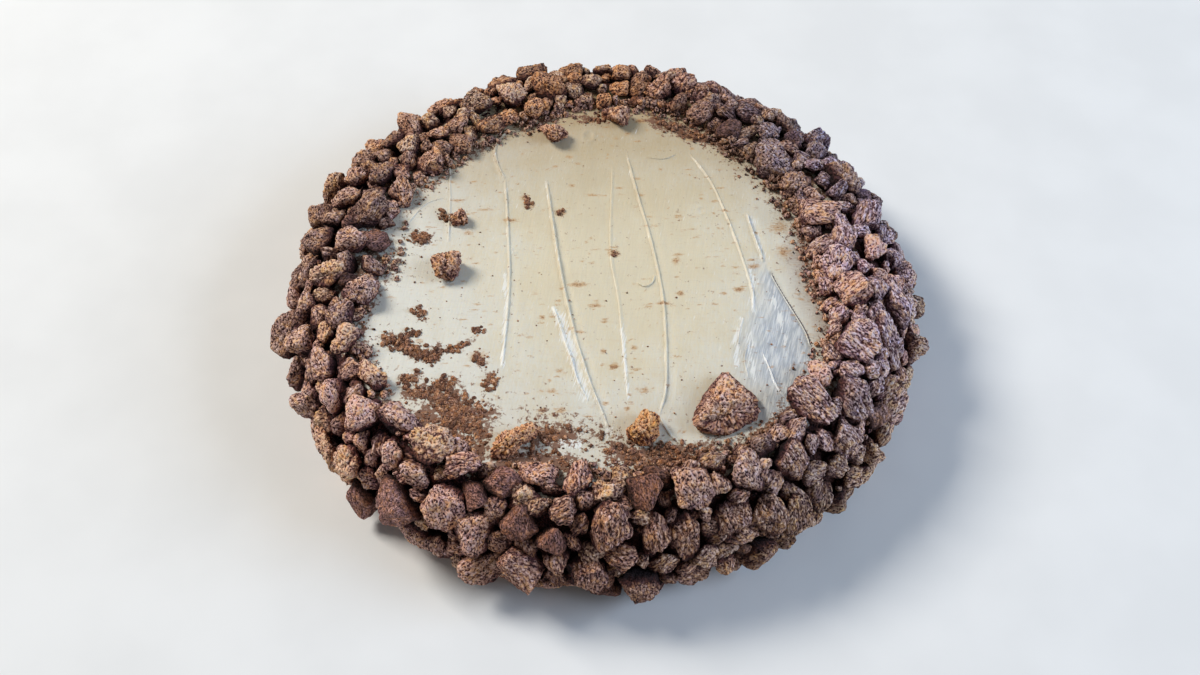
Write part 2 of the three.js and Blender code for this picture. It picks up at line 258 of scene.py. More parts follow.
# %% Shader maths as Python expressions
class Wire:
    """An output socket of a material, which sums can be done with."""

    def __init__(self, tree, socket=None):
        self.tree = tree
        self.socket = socket

    def node(self, kind, settings=None, inputs=None, outlet=0):
        """Adds a node: its settings first, then its sockets as values or as links, by name or number."""
        made = self.tree.nodes.new(kind)
        for label, value in (settings or {}).items():
            if label == "stops":
                for index, (place, colour) in enumerate(value):
                    elements = made.color_ramp.elements
                    stop = elements[index] if index < 2 else elements.new(place)
                    stop.position = place
                    stop.color = (*colour, 1)
            else:
                setattr(made, label, value)
        for label, value in (inputs or {}).items():
            if isinstance(value, Wire):
                self.tree.links.new(value.socket, made.inputs[label])
            else:
                made.inputs[label].default_value = value
        return Wire(self.tree, made.outputs[outlet])

    def maths(self, operation, first, second):
        """A sum of two terms: with vectors where either term is a vector or a colour."""
        terms = (first, second)
        wide = any(isinstance(term, Wire) and term.socket.type != "VALUE" for term in terms)
        kind = "ShaderNodeVectorMath" if wide else "ShaderNodeMath"
        inputs = {place: self.fit(term, wide) for place, term in enumerate(terms)}
        return self.node(kind, {"operation": operation}, inputs)

    @staticmethod
    def fit(value, wide):
        """A plain number becomes a vector where the sum is of vectors."""
        return (value,) * 3 if wide and isinstance(value, (int, float)) else value

    def __add__(self, other):
        return self.maths("ADD", self, other)

    def __sub__(self, other):
        return self.maths("SUBTRACT", self, other)

    def __rsub__(self, other):
        return self.maths("SUBTRACT", other, self)

    def __mul__(self, other):
        return self.maths("MULTIPLY", self, other)

    __radd__ = __add__
    __rmul__ = __mul__

    def between(self, low, high):
        """0 below low, 1 above high, and smooth in between; low may be the larger."""
        settings = {"interpolation_type": "SMOOTHSTEP"}
        inputs = {"Value": self, "From Min": low, "From Max": high}
        return self.node("ShaderNodeMapRange", settings, inputs)

    def blend(self, first, second):
        """The first colour where this is 0 and the second where it is 1."""
        first, second = (end if isinstance(end, Wire) else (*end, 1) for end in (first, second))
        return self.node("ShaderNodeMix", {"data_type": "RGBA"}, {0: self, 6: first, 7: second}, outlet=2)

    def noise(self, vector, scale=1.0, detail=3.0):
        """Cloudy noise round a half: at scale 1 its clouds are about a unit wide. Detail roughens them."""
        return self.node("ShaderNodeTexNoise", {}, {"Vector": vector, "Scale": scale, "Detail": detail})

    def no_brighter_than(self, limit):
        """The same colour, darkened where its strongest part is above a limit, so that its hue is kept."""
        strongest = limit
        for part in ("Red", "Green", "Blue"):
            value = self.node("ShaderNodeSeparateColor", {}, {"Color": self}, part)
            strongest = self.maths("MAXIMUM", value, strongest)
        return self * self.maths("DIVIDE", limit, strongest)

    def attribute(self, label, outlet="Fac"):
        """What the mesh says about each point under a label."""
        return self.node("ShaderNodeAttribute", {"attribute_name": label}, outlet=outlet)

    def places(self, *scales, turn=0):
        """Coordinates that ride with the piece, in millimetres, turned in degrees and then scaled."""
        coordinates = self.node("ShaderNodeTexCoord", outlet="Object")
        turned = {"Vector": coordinates, "Rotation": (0, 0, math.radians(turn))}
        coordinates = self.node("ShaderNodeMapping", {}, turned)
        stretch = tuple(scale / MM for scale in scales)
        return self.node("ShaderNodeVectorMath", {"operation": "MULTIPLY"}, {0: coordinates, 1: stretch})


def start_material(name):
    """A new material: its principled shader, and a wire to start sums from."""
    material = bpy.data.materials.new(name)
    material.use_nodes = True
    shader = material.node_tree.nodes["Principled BSDF"]
    return material, shader, Wire(material.node_tree)


def plug(wire, shader, label):
    """Links a wire to a socket of the shader."""
    wire.tree.links.new(wire.socket, shader.inputs[label])


print("shader maths is ready")

# %% [markdown]
# Crushed biscuit is dry and open. Tan grains under a millimetre across stand up and catch the light, and
# the pores between them are nearly black. The material makes the grains from the cells of a Voronoi
# pattern, each cell with its own shade, in coordinates that every piece carries with it: where these are
# stretched, the grains draw out into the layers of a split biscuit. Dark pits gather in patches, and some
# grains are more golden or cooler than the rest. The mesh adds painted shade in its own coarser creases, a
# shade of brown for every piece that is partly painted light, and painted shade where a point is buried or
# faces away from the top.

# %% Biscuit material
# The scale at which the bands of a wave texture lie one unit apart, and how thick the layers of biscuit are
WAVE_SCALE = 0.314
LAYER_THICKNESS = 1.7
BRIGHTEST_BISCUIT = 0.85


def biscuit_material(name, browns, grain_size, depth, pitted, stretch=1.0, layers=0.0):
    """Dry biscuit: its browns run from the pores to the tips of the grains, its sizes are in millimetres."""
    material, shader, wire = start_material(name)
    own = wire.attribute("own", "Vector")
    hue = wire.attribute("hue", "Vector")
    drawn = own * (1.0, stretch, 1.0)
    cells = {"Vector": drawn, "Scale": 1 / grain_size}
    far = wire.node("ShaderNodeTexVoronoi", {}, cells, "Distance")
    cell = wire.node("ShaderNodeTexVoronoi", {}, cells, "Color")
    shade = wire.node("ShaderNodeSeparateColor", {}, {"Color": cell}, "Red")
    gold = wire.node("ShaderNodeSeparateColor", {}, {"Color": cell}, "Green")
    rough = wire.noise(drawn, 1.5 / grain_size)
    pits = wire.noise(drawn, 1.5 / grain_size, detail=1.0).between(0.37, 0.45)
    patch = wire.noise(own, 0.22, detail=2.0)
    grains = far.between(0.85, 0.35)
    height = 0.58 + 0.26 * grains * shade + 1.6 * (rough - 0.5) + 0.7 * (patch - 0.5)
    height = height * (1 - pitted * (1 - pits) * (0.35 + 0.65 * patch.between(0.62, 0.40)))
    relief = 0.6 * grains + 1.6 * rough + 1.2 * pits
    if layers:
        bands = {"Vector": own, "Scale": WAVE_SCALE / LAYER_THICKNESS, "Distortion": 7.0, "Detail": 3.0}
        layer = wire.node("ShaderNodeTexWave", {"wave_profile": "SAW"}, bands, "Fac").between(0.0, 0.5)
        height = height * (1 - layers + layers * layer)
        relief = relief + 3.0 * layers * layer
    # Painted shade: darker in the creases of the mesh, and where a point is buried or faces away from the
    # top.
    height = height * (0.40 + 0.60 * wire.attribute("crease_shade")) * wire.attribute("painted_shade_factor")
    colour = height.node("ShaderNodeValToRGB", {"stops": browns}, {"Fac": height})
    golden = gold.between(0.45, 0.75) * patch.between(0.38, 0.60)
    colour = golden.blend(colour, colour * (1.16, 1.02, 0.70))
    cool = (1 - gold).between(0.60, 0.80) * patch.between(0.58, 0.42)
    colour = cool.blend(colour, colour * (0.92, 0.96, 1.16))
    plug((colour * hue).no_brighter_than(BRIGHTEST_BISCUIT), shader, "Base Color")
    shader.inputs["Roughness"].default_value = 0.88
    shader.inputs["Specular IOR Level"].default_value = 0.3
    bump = wire.node("ShaderNodeBump", {}, {"Strength": 1.0, "Distance": depth * MM, "Height": relief})
    plug(bump, shader, "Normal")
    return material


# Each stop: its place on the ramp and its colour; the two ends come first, because a new ramp has them
BROWNS_OF_CRUMB = [
    (0.0, (0.006, 0.002, 0.003)),
    (1.0, (1.0, 0.86, 0.73)),
    (0.20, (0.092, 0.036, 0.033)),
    (0.46, (0.42, 0.280, 0.212)),
]
BROWNS_OF_CRUST = [
    (0.0, (0.010, 0.005, 0.004)),
    (1.0, (0.60, 0.40, 0.33)),
    (0.20, (0.085, 0.043, 0.033)),
    (0.48, (0.25, 0.145, 0.115)),
]
BROWNS_OF_GOLD = [
    (0.0, (0.040, 0.013, 0.007)),
    (1.0, (0.80, 0.54, 0.38)),
    (0.20, (0.120, 0.046, 0.024)),
    (0.48, (0.34, 0.165, 0.094)),
]
BISCUIT = biscuit_material(
    "crushed biscuit", BROWNS_OF_CRUMB, grain_size=1.0, depth=0.50, pitted=0.85, stretch=0.7
)
GRAINY = biscuit_material("grainy biscuit", BROWNS_OF_CRUMB, grain_size=1.3, depth=0.60, pitted=0.45)
LAYERED = biscuit_material(
    "layered biscuit", BROWNS_OF_CRUMB, grain_size=0.9, depth=0.50, pitted=0.74, stretch=0.5, layers=0.36
)
CRUST = biscuit_material(
    "smooth biscuit crust", BROWNS_OF_CRUST, grain_size=0.8, depth=0.35, pitted=0.65, stretch=0.6, layers=0.25
)
GOLDEN = biscuit_material("golden crumbs", BROWNS_OF_GOLD, grain_size=0.6, depth=0.10, pitted=0.5)
print("biscuit materials:", [m.name for m in (BISCUIT, GRAINY, LAYERED, CRUST, GOLDEN)])

# %% [markdown]
# The cream is pale, satin and a little translucent. It is warmer in the middle and cooler towards its rim,
# most of all at the left, browner at the back, and darker and browner near the front bank, partly as painted
# shade. The knife has dragged crumbs through it, which leaves soft orange-brown flecks drawn out sideways.
# The mesh says where flecks, dust, white scratches and painted highlights, painted shade in the crack and
# the scraped patch are. The scraped patch is painted bluish grey, partly as a painted reflection of the cool
# light from the right. Noise in the material gives each of them its ragged edge.

# %% Cream material
def cream_material():
    """Spread cream: base colour first, then one coat after another of what lies on it."""
    material, shader, wire = start_material("spread cream")
    even = wire.places(1, 1, 1)
    ragged = wire.noise(wire.places(0.7, 1.5, 1))
    grit = wire.noise(even, 1.3, detail=2.0)
    clot = wire.noise(even, 0.45)
    drag = wire.noise(wire.places(0.12, 1.1, 1), detail=4.0)
    strokes = wire.noise(wire.places(1.5, 0.10, 1, turn=8), detail=4.0)
    torn = wire.noise(wire.places(1.7, 0.17, 1, turn=15), detail=4.0)
    fine = wire.noise(wire.places(1.6, 0.5, 1))
    mottle = wire.noise(even, 0.07)

    fleck, dusty, scrape = (wire.attribute(label) for label in ("fleck", "dust", "scrape"))
    flecks = (fleck + 1.2 * (ragged - 0.5)).between(0.22, 0.80)
    cores = (fleck + 1.6 * (grit - 0.5)).between(0.66, 1.0)
    stain = (dusty + 2.4 * (clot - 0.5) + 1.0 * (grit - 0.5)).between(0.34, 0.86)
    dust = (dusty + 1.9 * (clot - 0.5) + 1.6 * (grit - 0.5)).between(0.46, 0.84)
    # White scratches, and painted highlights along the lips.
    white = (wire.attribute("white") + 3.2 * (torn - 0.5)).between(0.45, 1.0)
    smeared = wire.attribute("smear") * (0.80 + 1.2 * (ragged - 0.5))

    tone = wire.attribute("warmth") + 0.9 * (mottle - 0.5) + 0.9 * (fine - 0.5)
    colour = tone.between(0.0, 1.0).blend((0.700, 0.680, 0.600), (0.705, 0.625, 0.455))
    browner = wire.attribute("browner") + 0.35 * (mottle - 0.5) + 0.30 * (fine - 0.5)
    colour = browner.maths("MAXIMUM", browner, 0.0).blend(colour, (0.435, 0.325, 0.180))
    colour = colour * (0.90 + 0.12 * fine + 0.14 * strokes - 0.06 * grit)
    # The scraped patch: thin cream, painted bluish grey partly as a painted reflection of the cool light from
    # the right.
    scraped_grey_and_reflection = torn.between(0.35, 0.68).blend((0.390, 0.430, 0.485), (0.700, 0.725, 0.740))
    coats = [
        (0.14 * drag.between(0.50, 0.80), (0.560, 0.400, 0.230)),
        (0.90 * scrape, scraped_grey_and_reflection),
        (smeared, (0.350, 0.275, 0.235)),
        # White scratches and painted highlights.
        (0.75 * white, (0.860, 0.860, 0.830)),
        (0.70 * flecks, (0.500, 0.275, 0.110)),
        (0.70 * cores, (0.270, 0.115, 0.045)),
        (0.80 * stain, (0.310, 0.170, 0.100)),
        (0.80 * dust, (0.165, 0.068, 0.036)),
        # Painted shade in the crack.
        (wire.attribute("crack_shade"), (0.060, 0.050, 0.060)),
    ]
    for share, paint in coats:
        colour = share.blend(colour, paint)
    plug(colour, shader, "Base Color")
    plug(0.44 - 0.12 * scrape + 0.12 * (mottle - 0.5) + 0.35 * dust, shader, "Roughness")
    shader.inputs["Specular IOR Level"].default_value = 0.5
    shader.inputs["Subsurface Weight"].default_value = 0.10
    shader.inputs["Subsurface Radius"].default_value = (1.0, 0.75, 0.45)
    shader.inputs["Subsurface Scale"].default_value = 1.6 * MM
    relief = 0.7 * strokes + 0.4 * drag + 1.6 * torn * scrape + 1.2 * dust + 0.6 * cores
    bump = wire.node("ShaderNodeBump", {}, {"Strength": 0.7, "Distance": 0.16 * MM, "Height": relief})
    plug(bump, shader, "Normal")
    return material


CREAM = cream_material()
print("cream material:", CREAM.name)

# %% [markdown]
# The knife left thin lips of cream along its strokes. Each lip is steep on one side, where the edge of the
# blade ran, and rests on a low shoulder on the other. The longest follow the solid model's lines. A curve
# through the few points of a line gives its true course, and a lip fades in and out at its ends.

# %% Lips and strokes of the knife
# Each: height and width in millimetres, the side of the steep face, and the points of the line
KNIFE_LIPS = [
    (0.9, 1.0, 1, [(-33, 74), (-40, 71), (-43, 62), (-41, 52), (-38, 45)]),
    (0.7, 1.1, -1, [(-38, 45), (-36, 23), (-34, -10), (-35, -48)]),
    (1.2, 1.2, -1, [(-21, 45), (-18, 22), (-14, -5), (-9, -30), (-3, -53), (4, -73)]),
    (0.45, 1.2, 1, [(6, 53), (5, 8), (8, -17), (11, -61)]),
    (0.8, 1.0, -1, [(12, 60), (16, 38), (21, 13), (25, -17), (25, -53), (22, -68)]),
    (0.7, 1.0, -1, [(38, 61), (47, 42), (54, 16), (59, -9), (59, -22)]),
    (1.2, 1.1, -1, [(60, 27), (60.5, 22), (62.5, 12), (65, 2)]),
    (0.6, 1.0, 1, [(-62, 59), (-60, 34), (-59, 12)]),
    (0.9, 0.9, -1, [(-17, -19), (-13.5, -31), (-10, -43), (-7, -54), (-3, -62)]),
    (0.6, 0.7, -1, [(-15, -24), (-11.5, -36), (-8.5, -47)]),
    (0.4, 0.9, 1, [(20, 58), (27, 57), (33, 60)]),
    (0.6, 0.7, 1, [(15, -8), (18, -10), (21, -8), (22, -4)]),
    (0.4, 0.7, 1, [(55, -24), (53, -31), (52, -38)]),
    (0.4, 0.7, 1, [(56, -36), (54, -44), (55, -52)]),
    (0.5, 0.8, -1, [(61, -40), (63, -47), (65, -55), (68, -60)]),
    (0.4, 0.8, 1, [(-76, 22), (-70, 32), (-62, 36)]),
    (0.6, 1.0, 1, [(22, -68), (26, -76), (33, -82)]),
]
# The crack where the scraped patch tore away from the thicker cream
CRACK = [(67.2, -3), (68.3, -6.8), (73, -18.8), (77.6, -30.5), (79, -38)]
# The two sides of the scraped patch, each as places from back to front
SCRAPE_LEFT = [(62, 8), (61, 0), (59, -18), (55, -28), (52, -42), (53, -54), (60, -78)]
SCRAPE_RIGHT = [(64, 8), (65, 2), (68.3, -6.8), (73, -18.8), (77.6, -30.5), (81, -48), (76, -78)]
# White scratches and painted highlights along the lips, each: how wide it is and the points of its line
WHITE_MARKS_AND_HIGHLIGHTS = [
    (2.4, [(-14, -24), (-10, -38), (-7.5, -50), (-4, -60)]),
    (1.2, [(-17, -20), (-13.5, -31), (-10, -43), (-7, -54)]),
    (1.0, [(-36, -4), (-35, -20), (-35, -46)]),
    (1.2, [(59.5, -2), (59.5, -12), (59, -22)]),
    (1.0, [(9, -30), (10, -45), (11, -60)]),
    (1.4, [(54, -25), (51.5, -36), (51, -46)]),
    (1.2, [(57, -32), (56.5, -42), (57, -52)]),
    (1.2, [(66, -12), (69, -24), (70, -36)]),
    (1.4, [(61, 25), (63, 13), (65, 4)]),
    (2.0, [(4, -74), (6, -77)]),
    (2.4, [(-12, -79), (-7, -80)]),
]
# Larger flecks, each: place, half length, half width and strength
FLECKS = [
    (-57, 34, 4.0, 1.0, 0.8), (-45.5, 29, 4.5, 0.8, 0.7), (-51.5, 17, 2.4, 1.8, 0.7),
    (-35, 23.5, 3.6, 1.2, 0.9), (-29.5, 35.5, 2.6, 2.0, 0.9), (-27.5, 31.5, 2.6, 2.0, 0.9),
    (-12, 58, 2.4, 0.9, 0.8), (-10.6, 42.3, 1.9, 0.9, 0.8), (-15, 27.7, 2.3, 2.2, 1.0),
    (-2, 37.3, 3.8, 0.9, 0.8), (6.3, 6.5, 2.6, 2.2, 1.0), (30.5, 3, 1.9, 1.9, 0.9),
    (31.8, -13, 1.6, 1.5, 1.0), (-7.7, -8.8, 4.6, 1.2, 0.95), (-1, -18.8, 3.4, 1.2, 0.85),
    (24.8, -18, 3.8, 1.0, 0.9), (-6.7, -31, 2.6, 1.0, 0.8), (2, -39.6, 1.5, 1.2, 0.95),
    (13.4, -38.2, 1.7, 1.1, 0.9), (60.7, 0.5, 2.6, 1.5, 0.9), (54, -11, 2.6, 1.4, 1.0),
    (-17, -75.5, 2.6, 2.2, 1.1), (-13, -75.5, 2.4, 2.2, 1.0), (-20, -65.6, 1.9, 1.6, 0.8),
    (6, -46.5, 2.1, 1.8, 1.05), (-21, -24.5, 1.5, 1.2, 0.9), (-14, -48.5, 1.8, 1.2, 0.8),
    (-16.7, -57.5, 2.3, 1.4, 0.8), (-13.5, -65.5, 2.8, 1.6, 0.8), (2.8, -62.5, 1.4, 1.0, 0.9),
    (17, -57, 2.8, 2.0, 0.7), (10.5, -64.8, 1.3, 1.1, 1.0), (19, -19.5, 2.4, 1.1, 0.7),
    (-3, 79, 3.0, 1.6, 1.0), (18, 79, 3.2, 1.5, 1.0), (30, 77, 3.0, 1.8, 1.1),
    (39, 70, 3.4, 2.4, 1.1), (72, 20, 5.0, 4.0, 0.7), (73, 8, 3.5, 4.0, 0.8),
    (-44, -42, 4.0, 2.4, 0.8),
]


def curve_through(line, step=0.5):
    """Points every half millimetre or so on a smooth curve through a line's points."""
    ends = np.vstack([2 * line[0] - line[1], line, 2 * line[-1] - line[-2]])
    parts = []
    for a, b, c, d in zip(ends, ends[1:], ends[2:], ends[3:]):
        t = np.linspace(0, 1, int(np.linalg.norm(c - b) / step), endpoint=False)[:, None]
        bend, twist = 2 * a - 5 * b + 4 * c - d, 3 * b - a - 3 * c + d
        parts.append(0.5 * (2 * b + (c - a) * t + bend * t**2 + twist * t**3))
    return np.vstack(parts)


def lip_strength(path):
    """How high a lip stands along its path, from 0 at its ends: it wavers by a third."""
    share = np.linspace(0, 1, len(path))
    taper = np.clip(np.minimum(share, 1 - share) * 10, 0, 1) ** 0.6
    return taper * (1 + 0.35 * swell(flat_points(path), 9, 31))


def lip_shoulder(places, height, width, side, line):
    """The shoulder that the cream rises to on the gentle side of a lip, and the groove at its steep side."""
    path = curve_through(np.array(line, float))
    added = np.zeros(len(places))
    near = np.all((places > path.min(0) - 12) & (places < path.max(0) + 12), 1)
    gaps = places[near][:, None] - path[None]
    nearest = (gaps**2).sum(2).argmin(1)
    along = np.gradient(path, axis=0)[nearest]
    gap = gaps[np.arange(len(nearest)), nearest]
    across = side * np.sign(along[:, 0] * gap[:, 1] - along[:, 1] * gap[:, 0]) * np.linalg.norm(gap, axis=1)
    gentle = 0.30 * np.exp(-np.abs(across) / (2.5 * width))
    steep = 0.30 * hill(across, 0.8) - 0.16 * hill(across + 2.0, 1.2)
    added[near] = height * lip_strength(path)[nearest] * np.where(across < 0, steep, gentle)
    return added


print(len(KNIFE_LIPS), "lips of cream")

# %% [markdown]
# Crumbs lie on the cream in drifts. A drift is a line with a spread and a number of crumbs, and the same
# drifts tell the cream where it is dusty.

# %% Drifts of crumbs
# Each: spread in millimetres, number of crumbs, and the points of its line
DRIFTS = [
    (2.1, 140, [(-79, -34), (-73, -36.5), (-69.5, -39), (-64, -42), (-61, -42), (-59, -39.5)]),
    (1.3, 28, [(-56, -39.6), (-51.8, -38.2), (-47.5, -35.5)]),
    (1.2, 18, [(-69, -20), (-65, -26)]),
    (1.3, 18, [(-72, -32), (-66.5, -31.5)]),
    (1.3, 20, [(-45, -30.5), (-43, -31)]),
    (1.5, 24, [(-44, -42), (-42.5, -46)]),
    (1.7, 36, [(-71, -53), (-66, -50.5)]),
    (1.5, 26, [(-59.5, -54), (-52, -53)]),
    (2.4, 90, [(-68, -59), (-63, -57), (-57, -61), (-54, -60.5)]),
    (4.4, 360, [(-54, -60), (-51, -67), (-42, -68)]),
    (4.2, 240, [(-62, -68), (-57, -75), (-50, -79), (-43, -83)]),
    (3.0, 90, [(-34, -86), (-23, -85), (-13, -87), (-3, -91)]),
    (2.4, 60, [(-47, -71), (-41, -76)]),
    (1.6, 34, [(-39, -51), (-40, -56)]),
    (2.2, 50, [(-72, 15), (-68, 14)]),
    (1.6, 20, [(-62, 27), (-60, 24)]),
    (3.0, 50, [(-22, -77), (-10, -76)]),
    (4.6, 260, [(8, -83), (18, -85), (30, -86), (40, -84)]),
    (5.0, 12, [(-22, -70), (-8, -74), (4, -78)]),
    (2.8, 50, [(44, -86), (56, -78), (66, -70)]),
    (2.8, 50, [(24, 79), (34, 74), (46, 68)]),
    (2.4, 30, [(-8, 80), (12, 82)]),
    (1.5, 12, [(-29.5, 36), (-27, 31)]),
    (1.0, 6, [(-15, 28), (-15, 26)]),
    (1.0, 5, [(6, 6), (7, 7)]),
]


def line_distance(places, line):
    """How far each place is from a line of points."""
    nearest = np.full(len(places), 1e9)
    for start, end in zip(line, line[1:]):
        start, run = np.array(start, float), np.array(end, float) - start
        share = np.clip(((places - start) @ run) / (run @ run), 0, 1)
        nearest = np.minimum(nearest, np.linalg.norm(places - start - share[:, None] * run, axis=1))
    return nearest


print(sum(count for _, count, _ in DRIFTS), "crumbs in", len(DRIFTS), "drifts")

# %% [markdown]
# The top of the cake is one fine grid, bent into a disc so that its cells stay nearly square from the
# middle to the rim. Its heights add up: a slow swell, the lips, the streaks of the blade, the torn, scraped
# patch on the right and a few burst bubbles. Rings of points close it over the edge and down to the base.

# %% The cream top and the body of the cake
CELLS = 276
TOP_RADIUS = CAKE_RADIUS - EDGE_ROUND
# How far the streaks of the blade lean, and how much longer than wide they are
STROKE_LEAN, STROKE_STRETCH = 0.13, 26
SCRAPE_LEAN, SCRAPE_STRETCH = 0.27, 5
# Burst bubbles, each: place and radius
BUBBLES = [(-4, 70, 2.4), (41.5, 28.5, 1.6), (-33, 8, 1.0), (12, 33, 0.9)]


def disc_grid(cells, radius):
    """Points of a square grid bent into a disc."""
    side = np.linspace(-1, 1, cells + 1)
    x, y = (a.ravel() for a in np.meshgrid(side, side))
    wide = np.abs(x) > np.abs(y)
    reach = np.where(wide, x, y)
    other = np.where(wide, y, x)
    slant = math.pi / 4 * np.divide(other, reach, out=np.zeros_like(x), where=reach != 0)
    turn = np.where(wide, slant, math.pi / 2 - slant)
    return radius * np.column_stack([reach * np.cos(turn), reach * np.sin(turn)])


def between_sides(places, left_side, right_side, left_fade, right_fade):
    """How far inside a strip each place lies, from 0 to 1; the strip runs from back to front."""
    left_x, left_y = np.array(left_side, float).T
    right_x, right_y = np.array(right_side, float).T
    left = np.interp(-places[:, 1], -left_y, left_x) + 3.5 * swell(flat_points(places), 5, 41)
    right = np.interp(-places[:, 1], -right_y, right_x)
    ends = np.minimum((left_y[0] - places[:, 1]) / 16, (places[:, 1] - left_y[-1]) / 10)
    inside = np.minimum((places[:, 0] - left) / left_fade, (right - places[:, 0]) / right_fade)
    return np.clip(np.minimum(inside + 0.3, ends), 0, 1)


def cream_height(places):
    """Height of the cream over its level at each place."""
    flat = flat_points(places)
    height = 0.45 * swell(flat, 38, 11) + 0.14 * swell(flat, 11, 12)
    for lip in KNIFE_LIPS:
        height += lip_shoulder(places, *lip)
    height -= 0.5 * hill(line_distance(places, CRACK), 0.7)
    x, y = places.T
    stroke = flat_points(np.column_stack([x + STROKE_LEAN * y, y / STROKE_STRETCH]))
    height += 0.05 * swell(stroke, 3.2, 13) + 0.03 * swell(stroke, 1.5, 14)
    torn = flat_points(np.column_stack([x + SCRAPE_LEAN * y, y / SCRAPE_STRETCH]))
    rough = 0.16 * swell(torn, 2.6, 15) + 0.14 * swell(torn, 1.4, 16) - 0.2
    height += between_sides(places, SCRAPE_LEFT, SCRAPE_RIGHT, 6, 1.5) * rough
    for bubble_x, bubble_y, radius in BUBBLES:
        gap = np.hypot(x - bubble_x, (y - bubble_y) * 0.75) / radius
        height += 0.30 * hill(gap - 1, 0.3) - 0.2 * hill(gap, 0.7)
    return height


print("height of the cream in its middle:", cream_height(np.zeros((1, 2))).round(2), "mm")

# %% [markdown]
# The same lines also say what colour the cream has at each point. Dust lies round the drifts and along the
# bank, flecks, white scratches and painted highlights have their places, and hundreds of small flecks are
# scattered at random. The crack gets painted shade, and near the front bank the cream is darker and browner,
# partly as painted shade. At the right, beyond the crack, crumbs have been smeared into the cream.

# %% Paint on the cream
SMALL_FLECKS = 620
# How far right the smear beyond the crack starts, at places from back to front
SMEAR_START = [(80, 30), (68, 6), (80, -44), (76, -72)]


def cream_paint(places):
    """What the knife and the crumbs left at each place of the cream, as shares for the material."""
    x, y = places.T
    dust = np.zeros(len(places))
    for spread, crumbs, line in DRIFTS:
        thickness = min(1.0, 0.4 + crumbs / 90)
        dust = np.maximum(dust, thickness * hill(line_distance(places, line), 1.6 * spread))
    edges = np.array([inner_reach(angle) for angle in np.arctan2(y, x)])
    bank_gap = np.clip(edges - np.linalg.norm(places, axis=1), 0, None)
    patchy = 0.5 + 0.5 * swell(flat_points(places), 13, 43)
    right_side = np.clip(x / 90, 0, 1)
    dust = np.maximum(dust, (0.25 + 0.75 * patchy) * np.exp(-bank_gap / (2.4 + 2.2 * right_side)))
    front_left = np.clip((-y - x / 2) / 90, 0, 1)
    dust = np.maximum(dust, 0.95 * front_left * patchy * np.exp(-bank_gap / 10))

    fleck_draw = random_from(SEED + 29)
    small = []
    for _ in range(SMALL_FLECKS):
        place = fleck_draw(-80, 84), fleck_draw(-84, 84)
        small.append((*place, fleck_draw(0.5, 2.6), fleck_draw(0.4, 0.9), fleck_draw(0.3, 0.85)))
    fleck = np.zeros(len(places))
    for fleck_x, fleck_y, wide, high, strength in FLECKS + small:
        gaps = (places - [fleck_x, fleck_y]) / [wide, high]
        fleck = np.maximum(fleck, strength * np.exp(-(gaps**2).sum(1)))
    white = np.zeros(len(places))
    for spread, line in WHITE_MARKS_AND_HIGHLIGHTS:
        white = np.maximum(white, hill(line_distance(places, line), spread))

    start_x, start_y = np.array(SMEAR_START, float).T
    beyond_crack = np.clip((x - np.interp(-y, -start_y, start_x)) / 12, 0, 1)
    scrape = between_sides(places, SCRAPE_LEFT, SCRAPE_RIGHT, 12, 1.5)
    return {
        "dust": dust,
        "fleck": fleck,
        "white": white,
        "scrape": scrape * (1 - beyond_crack),
        "smear": beyond_crack * np.clip((32 - y) / 14, 0, 1) * np.clip((y + 84) / 12, 0, 1),
        # Painted shade in the crack.
        "crack_shade": 0.35 * hill(line_distance(places, CRACK), 0.9),
        "warmth": np.clip(1.35 - np.linalg.norm((places - [8, 10]) / [62, 80], axis=1), 0, 1),
        # Browner towards the back, and darker and browner near the front bank, partly as painted shade.
        "browner": np.clip((y - 5) / 85, 0, 1) ** 1.3 + 0.20 * np.clip((-y - 40) / 40, 0, 1),
    }


print(len(FLECKS), "named flecks and", SMALL_FLECKS, "small ones")

# %% [markdown]
# Now the grid gets its heights, and rings of points join its rim to the base. The last ring is so small that
# the base is as good as closed: what little hole is left lies under the cake.

# %% Mesh of the cream
top_places = disc_grid(CELLS, TOP_RADIUS)
fade = np.clip((TOP_RADIUS - np.linalg.norm(top_places, axis=1)) / 3, 0, 1)
top_points = np.column_stack([top_places, CAKE_HEIGHT + fade * cream_height(top_places)])
row = CELLS + 1
corner = (np.arange(CELLS)[:, None] * row + np.arange(CELLS)).ravel()
top_faces = np.column_stack([corner, corner + 1, corner + row + 1, corner + row])
rim = np.concatenate([
    np.arange(CELLS),
    CELLS + row * np.arange(CELLS),
    row * row - 1 - np.arange(CELLS),
    row * CELLS - row * np.arange(CELLS),
])
rim_way = top_places[rim] / TOP_RADIUS
rings, ring_faces, last = [], [], rim
# Radius and height down the side: the round edge, the wall and the base
section = [
    (TOP_RADIUS + EDGE_ROUND * math.sin(bend), CAKE_HEIGHT - EDGE_ROUND + EDGE_ROUND * math.cos(bend))
    for bend in (0.5, 1.0, math.pi / 2)
]
section += [(CAKE_RADIUS, 18), (CAKE_RADIUS, 0), (50, 0), (2, 0)]
for radius, height in section:
    fresh = len(top_points) + len(rim) * len(rings) + np.arange(len(rim))
    rings.append(np.column_stack([rim_way * radius, np.full(len(rim), height)]))
    ring_faces.append(np.column_stack([np.roll(last, -1), last, fresh, np.roll(fresh, -1)]))
    last = fresh
cake_points = np.vstack([top_points, *rings])
cake_faces = np.vstack([top_faces, *ring_faces])

cake_paint = cream_paint(cake_points[:, :2])
make_piece("cream_top", cake_points, cake_faces, cake_paint, CREAM, replaced=["cream_cake"])

# %% [markdown]
# The lips themselves are too thin and sharp for the grid. Each is a narrow strip that is swept along its
# line, with its two edges sunk into the cream.

